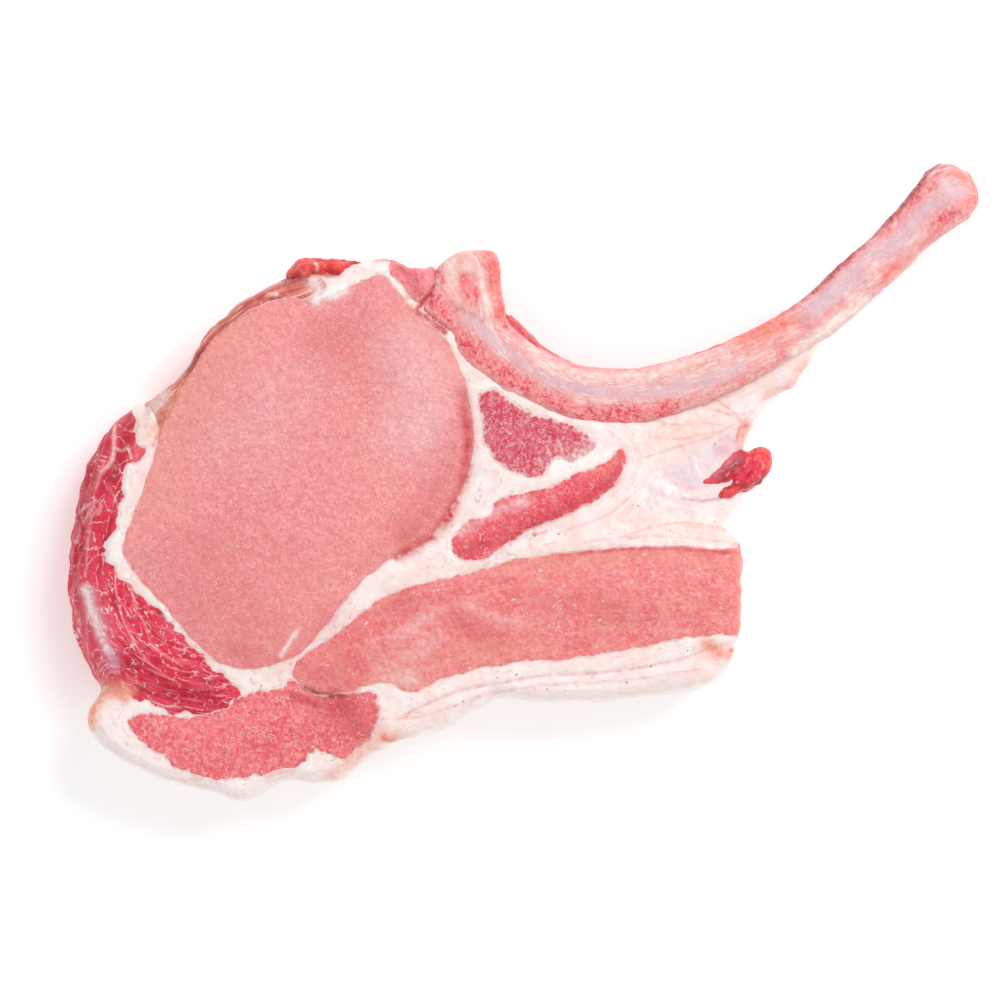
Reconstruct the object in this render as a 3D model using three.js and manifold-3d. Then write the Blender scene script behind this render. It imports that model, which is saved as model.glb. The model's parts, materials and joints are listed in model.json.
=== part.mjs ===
// A raw bone-in pork rib chop, lying flat on its cut face.
//
// Units are millimetres and +Z is up. The origin is the middle of the chop's bounding box on the
// surface it lies on. +X runs towards the bare end of the rib, +Y towards the backbone.
//
// The chop is one slab of meat. Its layout is a set of closed outlines seen from above: the slab
// itself and each muscle that shows at the cut. The muscles run right through the slab, and the fat
// is what is left of the slab between them. The rib and the piece of backbone lie in the upper half
// of the slab, and the bare end of the rib reaches out past it.

import * as THREE from 'three';
import { mergeVertices } from 'three/addons/utils/BufferGeometryUtils.js';
import Module from 'manifold-3d';

// ---------------------------------------------------------------- driving dimensions

const SLAB_THICKNESS = 26; // from cut face to cut face, at the seams between the muscles
const SEAM_GAP = 0.3; // clear space between neighbouring pieces
const ROUNDING = 1e-3; // corners closer than this are the same corner
const SHORTEST_EDGE = 0.02; // joins and cuts leave out edges that are shorter
const OUTLINE_STEP = 4; // spacing of the corners along a large outline
const SMALL_OUTLINE_STEP = 2.8; // the same along a small one
const FACE_STEP = 4.4; // grid spacing of the soft upper face

const EDGE_ROUND = 7; // width of the fall of the cut face towards its edge
const EDGE_DROP = 0.8; // depth of that fall
const LEAN_EDGE_ROUND = 14; // the same on the side where the rim leans back
const LEAN_EDGE_DROP = 3.6;
const LEAN_FROM = new THREE.Vector2(-84, -56); // the rim leans back along the cap muscle: it starts
const LEAN_FULL = new THREE.Vector2(-104, -42); // to the left of and above here, and is full here

const CROWN_REACH = 7; // distance over which a muscle swells up from its seam
const FLAP_SAG = 3.5; // the thin fat flap below the rib lies this much lower
const FLAP_START = new THREE.Vector2(14, -17); // where the flap begins to sag
const FLAP_END = new THREE.Vector2(52, -8); // where it has sagged fully
const UNDULATION = 0.35; // height of the slow waves in the cut face
const WAVE_LENGTH = new THREE.Vector2(50, 63);

const RIB_HEIGHT_RATIO = 0.84; // thickness of the rib against its width
const RIB_BURIED_HEIGHT = 22; // height of the rib's axis inside the chop
const RIB_END_HEIGHT = 17; // and at its bare end
const RIB_LEAVES_SLAB = 0.5; // share of the rib's length after which it starts to dip
const RIB_BOXINESS = 2.5; // exponent of the rib's section: 2 is an ellipse, more is squarer
const RIB_HALF_WIDTH = 6; // usual half width of the rib in plan
const RIB_HOLLOW = 1.6; // the meat sinks this much beside the rib
const RIB_HOLLOW_REACH = 3.5;
const RIB_SIDES = 14;
const RIB_STEPS = 42;
const RIB_BUNCHING = 0.35; // how much the steps crowd towards the rib's ends: 0 is even

const BACKBONE_BOTTOM = 3;
const BACKBONE_TOP = SLAB_THICKNESS + 0.8;
const BACKBONE_ROUND = 1.6;

// Rows of corners up the rim, from below the slab to above it: height as a share of the slab's
// thickness there, a further rise, how far the row stands back from the outline, and how much
// further it stands back on the side where the rim leans.
const RIM_ROWS = [
  [0, -4, 1.8, 0.4], [0, 0, 1.8, 0.4], [0.1, 0, 0.8, 0.2], [0.42, 0, 0, 0], [0.7, 0, 0.15, 1.2],
  [1, -2.8, 0.6, 3.4], [1, -1.1, 1.5, 4.8], [1, 1.6, 3.8, 6.8], [1, 8, 3.8, 6.8],
];

// ---------------------------------------------------------------- outlines, seen from above

// The outlines are drawn from a point near the middle; this is the origin as it lies in them.
const ORIGIN_IN_OUTLINES = new THREE.Vector2(-0.12, -0.44);

const CHOP_OUTLINE = [
  [-13, 54.5], [-8.5, 54], [-7, 51], [-6.5, 46], [-4.5, 41.5], [0, 37], [6.5, 31], [16, 27],
  [23, 26.5], [30.5, 27], [38.5, 29.5], [46.5, 32.5], [54, 36], [62.5, 39], [70.5, 33], [68, 27.5],
  [64, 22], [59, 19.5], [54, 11], [52.5, 6], [52.5, -3.5], [48.5, -10.5], [51.5, -15.5],
  [52.5, -22.5], [52, -34.5], [49, -44.5], [45.5, -48.5], [35.5, -51], [18, -53], [5, -53],
  [-6.5, -52.5], [-20.5, -60], [-31, -63], [-40.5, -69], [-44, -72], [-49.5, -72.5], [-58, -72.5],
  [-68, -77], [-73.5, -75.5], [-90, -70.5], [-101, -64], [-104.5, -59.5], [-104.5, -55.5],
  [-102, -50.5], [-105.5, -43.5], [-109, -31.5], [-109.5, -22], [-108.5, -12], [-106, 0],
  [-102, 8.5], [-96.5, 15.5], [-87, 21.5], [-81, 27], [-76, 35.5], [-66.5, 43.5], [-56, 49],
  [-42, 52.5], [-33.5, 53.5], [-27, 51.5], [-21, 51.5], [-18, 54],
];

const EYE_OUTLINE = [
  [-34.5, 49], [-30, 45], [-25, 39], [-19.5, 34.5], [-16, 29], [-13.5, 21.5], [-12, 9.5], [-14, 0],
  [-18.5, -8], [-24, -15.5], [-30.5, -18], [-37.5, -23], [-43, -29], [-49, -36.5], [-54.5, -42],
  [-64.5, -45], [-72.5, -43.5], [-79.5, -38], [-86.5, -29.5], [-94, -21], [-96, -16], [-92.5, -6],
  [-88.5, 6], [-86, 14.5], [-81, 24], [-75, 33], [-66, 40.5], [-58, 43.5], [-49.5, 43.5], [-42, 46],
];

const CAP_OUTLINE = [
  [-94, 16.5], [-92.5, 13.5], [-92.5, 9.5], [-90.5, 7.5], [-91.5, 4.5], [-94.5, 3], [-95.5, -0.5],
  [-96, -4], [-97, -10.5], [-100, -16], [-98.5, -21], [-91.5, -27], [-87, -31], [-82, -36.5],
  [-76, -43], [-71, -48], [-68, -51], [-71.5, -54.5], [-78, -56], [-85, -55], [-93, -52],
  [-102.5, -48], [-111, -43], [-116, -26.5], [-114, -7], [-107, 12], [-99.5, 20],
];

const LOWER_OUTLINE = [
  [-95, -57.5], [-90, -55.5], [-80, -56.5], [-71, -54], [-66, -50.5], [-57.5, -49.5],
  [-55.5, -48], [-49, -51], [-36, -50.5], [-34.5, -53], [-36.5, -61], [-43, -66], [-50, -65],
  [-54, -69], [-66, -71], [-76.5, -71.5], [-83.5, -68], [-90, -63.5],
];

const BELLY_OUTLINE = [
  [-55.5, -46], [-53, -42], [-44.5, -36.5], [-36.5, -29.5], [-27.5, -25.5], [-13, -22],
  [2.5, -18], [20.5, -16.5], [34, -15.5], [46, -16.5], [56, -16.5], [60, -26.5], [56.5, -36],
  [46, -37], [36.5, -38], [28, -40], [12, -42.5], [-1, -43.5], [-18, -47], [-27, -50.5],
  [-33.5, -48.5], [-44, -51], [-52.5, -50],
];

const UPPER_RIB_OUTLINE = [
  [-10.5, 21], [-8, 22], [-1, 17.5], [6, 15], [14, 12], [17.5, 9], [16, 7], [12, 4.5], [7.5, 5],
  [5.5, 2], [3, 0.5], [-4.5, 3], [-9, 7.5], [-10.5, 14.5],
];

const LOWER_RIB_OUTLINE = [
  [23.5, 8], [24.5, 5], [21, -2], [13.5, -6.5], [2.5, -11.5], [-3.5, -14.5], [-10, -19],
  [-16, -18.5], [-17.5, -15.5], [-14, -10], [-8.5, -8], [-6, -4.5], [3, -2.5], [11, 1],
  [19.5, 4.5], [21.5, 6.5],
];

const SPINE_MUSCLE_OUTLINE = [
  [-32.5, 51], [-31, 54], [-23, 54], [-21.5, 47], [-24.5, 42], [-28, 45],
];

const SIDE_STRIP_OUTLINE = [
  [-96, 25], [-91.5, 18.5], [-89.5, 17.5], [-86.5, 13.5], [-84.5, 17.5], [-80, 25.5], [-74, 33.5],
  [-65, 41], [-58, 44.5], [-52, 44.5], [-50, 46.5], [-52.5, 50], [-59, 54], [-74, 46], [-86, 35],
];

const RIB_BED_OUTLINE = [
  [-6, 48], [-1, 43.5], [8.5, 33.5], [23, 30], [42, 35], [60, 42], [66, 36], [59, 31.5],
  [48.5, 26], [40, 22.5], [31, 20], [23, 19], [14.5, 19.5], [6.5, 22], [-2, 26.5], [-7, 32.5],
  [-8, 41],
];

const BACKBONE_OUTLINE = [
  [-21, 50], [-18.5, 53], [-15, 55], [-10, 55.2], [-7, 54.5], [-5.8, 52], [-5.6, 46], [-4.5, 40.5],
  [-6, 35], [-11, 33], [-15, 33.5], [-19.5, 36.5], [-24.5, 41], [-22, 45],
];

// The skin side of the chop, split from the rest along a line that stays inside the muscles.
const SKIN_SIDE_OUTLINE = [
  [-120, -45], [-95, -48], [-80, -52], [-71, -52], [-66, -55], [-50, -55], [-42, -50], [-30, -44],
  [0, -34], [30, -30], [65, -28], [65, -85], [-120, -85],
];

// The rib's centre line in plan, from inside the backbone to the bare end.
const RIB_LINE = [
  [-15, 51], [-12, 43.5], [-9.5, 35], [-2, 28], [6.5, 23.5], [14.5, 21], [23, 20.5], [31, 21.5],
  [40, 24], [48.5, 27], [59, 32.5], [70.5, 39.5], [78.5, 46.5], [85.5, 52.7], [92.5, 59.7],
  [99.5, 66.4], [107.2, 74],
];

// Half the rib's width at distances along that line, from 0 at its root to 1 at the bare end.
const RIB_HALF_WIDTHS = [
  [0, 0], [0.004, 3.5], [0.015, 5.4], [0.05, 6.4], [0.18, 6.3], [0.3, 6.3], [0.42, 5.9],
  [0.5, 5.6], [0.6, 5.3], [0.68, 5.6], [0.75, 5.9], [0.82, 5.6], [0.88, 5.9], [0.92, 6.7],
  [0.95, 7.8], [0.975, 6.9], [0.99, 4.6], [1, 0],
];

// ---------------------------------------------------------------- solids that join and cut

const wasm = await Module();
wasm.setup();

function toSolid(geometry) {
  const bare = geometry.clone();
  bare.deleteAttribute('normal');
  bare.deleteAttribute('uv');
  const merged = mergeVertices(bare, ROUNDING);
  return new wasm.Manifold(new wasm.Mesh({
    numProp: 3,
    vertProperties: new Float32Array(merged.attributes.position.array),
    triVerts: new Uint32Array(merged.index.array),
    tolerance: SHORTEST_EDGE,
  }));
}

function toGeometry(solid) {
  const mesh = solid.getMesh();
  const geometry = new THREE.BufferGeometry();
  geometry.setAttribute('position', new THREE.BufferAttribute(mesh.vertProperties, 3));
  geometry.setIndex(new THREE.BufferAttribute(mesh.triVerts, 1));
  geometry.computeVertexNormals();
  return geometry;
}

// ---------------------------------------------------------------- curves and distances

// Corners at an even spacing along a smooth closed curve, counter-clockwise.
function closedCurve(points, step) {
  const corners = points.map(([x, y]) => new THREE.Vector3(x, y, 0));
  const curve = new THREE.CatmullRomCurve3(corners, true, 'centripetal');
  const count = Math.round(curve.getLength() / step);
  const ring = curve.getSpacedPoints(count).slice(0, count);
  const flat = ring.map((corner) => new THREE.Vector2(corner.x, corner.y));
  return THREE.ShapeUtils.isClockWise(flat) ? flat.reverse() : flat;
}

function outwardNormals(ring) {
  return ring.map((corner, i) => {
    const before = ring[(i + ring.length - 1) % ring.length];
    const after = ring[(i + 1) % ring.length];
    const along = after.clone().sub(before).normalize();
    return new THREE.Vector2(along.y, -along.x);
  });
}

function grown(ring, distance) {
  const normals = outwardNormals(ring);
  return ring.map((corner, i) => corner.clone().addScaledVector(normals[i], distance));
}

// The shortest distance from a place to a line of corners.
function distanceTo(place, line, closed) {
  let shortest = Infinity;
  const last = closed ? line.length : line.length - 1;
  for (let i = 0; i < last; i += 1) {
    const along = line[(i + 1) % line.length].clone().sub(line[i]);
    const away = place.clone().sub(line[i]);
    const share = THREE.MathUtils.clamp(away.dot(along) / along.lengthSq(), 0, 1);
    shortest = Math.min(shortest, away.addScaledVector(along, -share).length());
  }
  return shortest;
}

function isInside(place, ring) {
  let inside = false;
  ring.forEach((a, i) => {
    const b = ring[(i + 1) % ring.length];
    const crosses = (a.y > place.y) !== (b.y > place.y);
    if (crosses && place.x < a.x + ((place.y - a.y) / (b.y - a.y)) * (b.x - a.x)) inside = !inside;
  });
  return inside;
}

// Depth below the outline, and nothing outside it.
function depthInside(place, ring) {
  return isInside(place, ring) ? distanceTo(place, ring, true) : 0;
}

// ---------------------------------------------------------------- the muscles at the cut

// In the order in which they keep their place: each is cut back from those before it.
const MUSCLES = [
  { name: 'loin_eye', outline: EYE_OUTLINE, crown: 1.5, colour: '#ee9d9b', roughness: 0.42 },
  { name: 'cap_muscle', outline: CAP_OUTLINE, crown: 0.8, colour: '#c93d50', roughness: 0.38 },
  { name: 'belly_muscle', outline: BELLY_OUTLINE, crown: 1.2, colour: '#ec8684', roughness: 0.45 },
  { name: 'spine_muscle', outline: SPINE_MUSCLE_OUTLINE, crown: 0.4, colour: '#e9878a', roughness: 0.45 },
  { name: 'rib_muscle_upper', outline: UPPER_RIB_OUTLINE, crown: 0.3, colour: '#cf5c6f', roughness: 0.45 },
  { name: 'rib_muscle_lower', outline: LOWER_RIB_OUTLINE, crown: 0.6, colour: '#e5606f', roughness: 0.42 },
  { name: 'side_strip', outline: SIDE_STRIP_OUTLINE, crown: 0, colour: '#c9685e', roughness: 0.5 },
  { name: 'lower_muscle', outline: LOWER_OUTLINE, crown: 0.9, colour: '#e77380', roughness: 0.48 },
  { name: 'rib_bed_muscle', outline: RIB_BED_OUTLINE, crown: 0, colour: '#b8404a', roughness: 0.45 },
];

for (const muscle of MUSCLES) muscle.ring = closedCurve(muscle.outline, OUTLINE_STEP);

// ---------------------------------------------------------------- the slab

const chopRing = closedCurve(CHOP_OUTLINE, OUTLINE_STEP);
const chopNormals = outwardNormals(chopRing);
const ribCorners = RIB_LINE.map(([x, y]) => new THREE.Vector3(x, y, 0));
const ribLine = new THREE.CatmullRomCurve3(ribCorners, false, 'centripetal');
const ribPlan = ribLine.getSpacedPoints(RIB_STEPS).map((point) => new THREE.Vector2(point.x, point.y));

// 1 where the rim leans back fully, along the cap muscle, and 0 on the other sides.
function leanShare(place) {
  const { smoothstep } = THREE.MathUtils;
  const leftwards = smoothstep(-place.x, -LEAN_FROM.x, -LEAN_FULL.x);
  return leftwards * smoothstep(place.y, LEAN_FROM.y, LEAN_FULL.y);
}

// Fall of the cut face towards the slab's edge.
function edgeDrop(place) {
  const width = THREE.MathUtils.lerp(EDGE_ROUND, LEAN_EDGE_ROUND, leanShare(place));
  const drop = THREE.MathUtils.lerp(EDGE_DROP, LEAN_EDGE_DROP, leanShare(place));
  return drop * (1 - Math.min(depthInside(place, chopRing) / width, 1)) ** 2;
}

// Height of the upper cut face over a place.
function faceHeight(place) {
  const { smoothstep } = THREE.MathUtils;
  let height = SLAB_THICKNESS - edgeDrop(place);
  for (const muscle of MUSCLES.filter(({ crown }) => crown > 0)) {
    const depth = depthInside(place, muscle.ring);
    height += muscle.crown * (1 - Math.exp(-((depth / CROWN_REACH) ** 2)));
  }
  const alongFlap = smoothstep(place.x, FLAP_START.x, FLAP_END.x);
  const acrossFlap = smoothstep(place.y, FLAP_START.y, FLAP_END.y);
  height -= FLAP_SAG * alongFlap * acrossFlap;
  const besideRib = Math.max(distanceTo(place, ribPlan, false) - RIB_HALF_WIDTH, 0);
  height -= RIB_HOLLOW * Math.exp(-((besideRib / RIB_HOLLOW_REACH) ** 2));
  const waveX = Math.sin((2 * Math.PI * place.x) / WAVE_LENGTH.x + 1);
  const waveY = Math.cos((2 * Math.PI * place.y) / WAVE_LENGTH.y);
  return height + UNDULATION * waveX * waveY;
}

// The slab's outline as a tall block whose rim swells out and rounds over.
function rimBlock() {
  const steps = RIM_ROWS.length - 1;
  const options = { depth: steps, steps, bevelEnabled: false };
  const block = new THREE.ExtrudeGeometry(new THREE.Shape(chopRing), options);
  const thickness = chopRing.map((corner) => faceHeight(corner));
  const position = block.attributes.position;
  for (let i = 0; i < position.count; i += 1) {
    const place = new THREE.Vector2(position.getX(i), position.getY(i));
    const number = chopRing.findIndex((corner) => corner.distanceTo(place) < ROUNDING);
    const [share, rise, inset, leanInset] = RIM_ROWS[Math.round(position.getZ(i))];
    const standBack = inset + leanInset * leanShare(chopRing[number]);
    const moved = chopRing[number].clone().addScaledVector(chopNormals[number], -standBack);
    position.setXYZ(i, moved.x, moved.y, share * thickness[number] + rise);
  }
  return toSolid(block);
}

// A block with a flat underside whose upper side is the soft cut face.
function faceBlock() {
  const box = new THREE.Box2().setFromPoints(chopRing).expandByScalar(FACE_STEP);
  const size = box.getSize(new THREE.Vector2());
  const centre = box.getCenter(new THREE.Vector2());
  const across = Math.round(size.x / FACE_STEP);
  const along = Math.round(size.y / FACE_STEP);
  const block = new THREE.BoxGeometry(size.x, size.y, SLAB_THICKNESS, across, along, 1);
  block.translate(centre.x, centre.y, SLAB_THICKNESS / 2);
  const position = block.attributes.position;
  for (let i = 0; i < position.count; i += 1) {
    const place = new THREE.Vector2(position.getX(i), position.getY(i));
    if (position.getZ(i) > 0) position.setZ(i, faceHeight(place));
  }
  return toSolid(block);
}

// ---------------------------------------------------------------- the bones

// Half the rib's width at a share of its length.
function ribHalfWidth(share) {
  const after = Math.max(RIB_HALF_WIDTHS.findIndex(([place]) => place >= share), 1);
  const [startShare, startWidth] = RIB_HALF_WIDTHS[after - 1];
  const [endShare, endWidth] = RIB_HALF_WIDTHS[after];
  return THREE.MathUtils.mapLinear(share, startShare, endShare, startWidth, endWidth);
}

// The rib is a turned rod, squared a little, then bent along its centre line.
function rib(growth) {
  const profile = [];
  for (let i = 0; i <= RIB_STEPS; i += 1) {
    const even = i / RIB_STEPS;
    const bunched = (1 - Math.cos(Math.PI * even)) / 2;
    const share = THREE.MathUtils.lerp(even, bunched, RIB_BUNCHING);
    profile.push(new THREE.Vector2(ribHalfWidth(share), share));
  }
  const rod = new THREE.LatheGeometry(profile, RIB_SIDES);
  const position = rod.attributes.position;
  for (let i = 0; i < position.count; i += 1) {
    const share = THREE.MathUtils.clamp(position.getY(i), 0, 1);
    const radius = Math.hypot(position.getX(i), position.getZ(i));
    const turn = Math.atan2(position.getZ(i), position.getX(i));
    const power = Math.abs(Math.cos(turn)) ** RIB_BOXINESS + Math.abs(Math.sin(turn)) ** RIB_BOXINESS;
    const reach = radius > 0 ? radius * power ** (-1 / RIB_BOXINESS) + growth : 0;
    const place = ribLine.getPointAt(share);
    const along = ribLine.getTangentAt(share);
    if (radius === 0) place.addScaledVector(along, share > 0 ? growth : -growth);
    const dip = THREE.MathUtils.smoothstep(share, RIB_LEAVES_SLAB, 1);
    const sideways = reach * Math.cos(turn);
    const upwards = reach * Math.sin(turn) * RIB_HEIGHT_RATIO;
    place.x += along.y * sideways;
    place.y -= along.x * sideways;
    place.z = THREE.MathUtils.lerp(RIB_BURIED_HEIGHT, RIB_END_HEIGHT, dip) + upwards;
    position.setXYZ(i, place.x, place.y, place.z);
  }
  return toSolid(rod);
}

// A lump with rounded edges between two heights.
function roundedBlock(ring, bottom, top, round) {
  const options = {
    depth: top - bottom - 2 * round,
    steps: 1,
    bevelSize: round,
    bevelThickness: round,
    bevelOffset: -round,
    bevelSegments: 3,
  };
  const block = new THREE.ExtrudeGeometry(new THREE.Shape(ring), options);
  block.translate(0, 0, bottom + round);
  return toSolid(block);
}

function grownBlock(outline, bottom, top, round, growth) {
  const ring = grown(closedCurve(outline, SMALL_OUTLINE_STEP), growth);
  return roundedBlock(ring, bottom - growth, top + growth, round);
}

function ribBone(growth) {
  const backbone = grownBlock(BACKBONE_OUTLINE, BACKBONE_BOTTOM, BACKBONE_TOP, BACKBONE_ROUND, growth);
  return backbone.add(rib(growth));
}

// ---------------------------------------------------------------- small loose ends of meat

// Each loose end is a few uneven lumps: centre, half sizes, and turn in plan in degrees.
const NUB_LUMPS = [
  { centre: [55.2, 2.7, 17.5], half: [4.7, 5.7, 5.8], turn: -20 },
  { centre: [49.3, 0.8, 18.5], half: [6.4, 3.6, 4.6], turn: 22 },
];
const SCRAP_LUMPS = [
  { centre: [-52.4, 50.2, 20], half: [4.3, 3.2, 6.2], turn: 25 },
  { centre: [-46, 51.2, 21], half: [4.4, 2.6, 5], turn: 0 },
];

const LUMP_DETAIL = 2;
const LUMP_UNEVENNESS = 0.07;

function lump({ centre, half, turn }, growth) {
  const ball = new THREE.IcosahedronGeometry(1, LUMP_DETAIL);
  const position = ball.attributes.position;
  for (let i = 0; i < position.count; i += 1) {
    const point = new THREE.Vector3().fromBufferAttribute(position, i);
    const wave = Math.sin(3 * point.x + 2 * point.z + centre[0]) * Math.cos(3 * point.y - point.z);
    point.multiplyScalar(1 + LUMP_UNEVENNESS * wave);
    position.setXYZ(i, point.x, point.y, point.z);
  }
  ball.scale(half[0] + growth, half[1] + growth, half[2] + growth);
  ball.rotateZ(THREE.MathUtils.degToRad(turn));
  ball.translate(...centre);
  return toSolid(ball);
}

function joinedLumps(lumps, growth) {
  const solids = lumps.map((part) => lump(part, growth));
  return solids.reduce((joined, solid) => joined.add(solid));
}

// ---------------------------------------------------------------- assembly

function material(colour, roughness) {
  return new THREE.MeshStandardMaterial({ color: colour, roughness, metalness: 0 });
}

// A prism of an outline, taller than the slab.
function throughPrism(ring) {
  const margin = 5;
  const options = { depth: SLAB_THICKNESS + 3 * margin, steps: 1, bevelEnabled: false };
  const prism = new THREE.ExtrudeGeometry(new THREE.Shape(ring), options);
  prism.translate(0, 0, -margin);
  return toSolid(prism);
}

const group = new THREE.Group();

function addPiece(name, solid, colour, roughness) {
  const mesh = new THREE.Mesh(toGeometry(solid), material(colour, roughness));
  mesh.name = name;
  group.add(mesh);
}

const slab = rimBlock().intersect(faceBlock());

addPiece('rib_bone', ribBone(0), '#edc0b8', 0.4);
addPiece('red_nub', joinedLumps(NUB_LUMPS, 0), '#d53445', 0.35);
addPiece('top_scrap', joinedLumps(SCRAP_LUMPS, 0), '#cc3038', 0.38);

let taken = ribBone(SEAM_GAP);
for (const lumps of [NUB_LUMPS, SCRAP_LUMPS]) taken = taken.add(joinedLumps(lumps, SEAM_GAP));
for (const muscle of MUSCLES) {
  const piece = slab.intersect(throughPrism(muscle.ring)).subtract(taken);
  addPiece(muscle.name, piece, muscle.colour, muscle.roughness);
  taken = taken.add(throughPrism(grown(muscle.ring, SEAM_GAP)));
}
const skinSide = throughPrism(SKIN_SIDE_OUTLINE.map(([x, y]) => new THREE.Vector2(x, y)));
const fat = slab.subtract(taken);
addPiece('seam_fat', fat.subtract(skinSide), '#f8e6e0', 0.4);
addPiece('outer_fat', fat.intersect(skinSide), '#f8e8e3', 0.4);

group.position.set(-ORIGIN_IN_OUTLINES.x, -ORIGIN_IN_OUTLINES.y, 0);

export default group;
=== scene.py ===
# %% [markdown]
# # A raw pork rib chop
#
# A rib chop is one slice across a pig's back. At the cut face it shows a patchwork of muscles
# with white fat between them, and one curved rib that sticks out bare at the far end. This lesson
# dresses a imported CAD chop: each plain solid gets a fine mesh with the swell, seams and fibres
# of real meat, and a material made of nodes.
#
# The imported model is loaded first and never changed. Every piece made here stands for one of its
# nodes, in the same frame, in metres.

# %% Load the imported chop
import json
import bpy
import numpy as np
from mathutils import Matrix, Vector, noise
from mathutils.geometry import delaunay_2d_cdt
from mathutils.kdtree import KDTree

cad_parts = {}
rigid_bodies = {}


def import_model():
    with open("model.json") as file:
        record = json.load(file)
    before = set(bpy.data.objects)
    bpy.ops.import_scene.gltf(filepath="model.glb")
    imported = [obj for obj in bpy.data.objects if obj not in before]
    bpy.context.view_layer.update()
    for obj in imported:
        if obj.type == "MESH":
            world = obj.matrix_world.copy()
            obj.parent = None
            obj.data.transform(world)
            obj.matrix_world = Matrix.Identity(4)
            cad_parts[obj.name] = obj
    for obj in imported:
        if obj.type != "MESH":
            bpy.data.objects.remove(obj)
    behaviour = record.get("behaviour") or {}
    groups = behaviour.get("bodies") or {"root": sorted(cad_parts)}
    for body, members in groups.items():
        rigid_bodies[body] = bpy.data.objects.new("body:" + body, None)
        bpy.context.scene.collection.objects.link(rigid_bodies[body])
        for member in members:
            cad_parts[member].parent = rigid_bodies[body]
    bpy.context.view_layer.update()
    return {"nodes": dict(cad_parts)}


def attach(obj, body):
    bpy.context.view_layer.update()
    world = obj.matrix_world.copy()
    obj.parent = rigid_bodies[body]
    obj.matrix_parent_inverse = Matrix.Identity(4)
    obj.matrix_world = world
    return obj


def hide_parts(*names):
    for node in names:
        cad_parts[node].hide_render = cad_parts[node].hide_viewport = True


for leftover in list(bpy.data.objects):
    bpy.data.objects.remove(leftover)
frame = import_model()
print("nodes:", sorted(frame["nodes"]))

# %% [markdown]
# ## The layout, seen from above
#
# The cut face is a map: the chop's own outline and one closed outline for each muscle. Each is a
# short list of places in millimetres, given where the outline bends. A smooth curve runs
# through them. This is how a pattern cutter would draw it, and it keeps every border editable.

# %% Outlines in millimetres
ORIGIN_IN_OUTLINES = np.array([-0.12, -0.44])

CHOP = [
    (-13, 54.5), (-8.5, 54), (-7, 51), (-6.5, 46), (-4.5, 41.5), (0, 37), (6.5, 31), (16, 27),
    (23, 26.5), (30.5, 27), (38.5, 29.5), (46.5, 32.5), (54, 36), (62.5, 39), (70.5, 33),
    (68, 27.5), (64, 22), (59, 19.5), (54, 11), (52.5, 6), (52.5, -3.5), (48.5, -10.5),
    (51.5, -15.5), (52.5, -22.5), (52, -34.5), (49, -44.5), (45.5, -48.5), (35.5, -51), (18, -53),
    (5, -53), (-6.5, -52.5), (-20.5, -60), (-31, -63), (-40.5, -69), (-44, -72), (-49.5, -72.5),
    (-58, -72.5), (-68, -77), (-73.5, -75.5), (-90, -70.5), (-101, -64), (-104.5, -59.5),
    (-104.5, -55.5), (-102, -50.5), (-105.5, -43.5), (-109, -31.5), (-109.5, -22), (-108.5, -12),
    (-106, 0), (-102, 8.5), (-96.5, 15.5), (-87, 21.5), (-81, 27), (-76, 35.5), (-66.5, 43.5),
    (-56, 49), (-42, 52.5), (-33.5, 53.5), (-27, 51.5), (-21, 51.5), (-18, 54),
]
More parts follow.
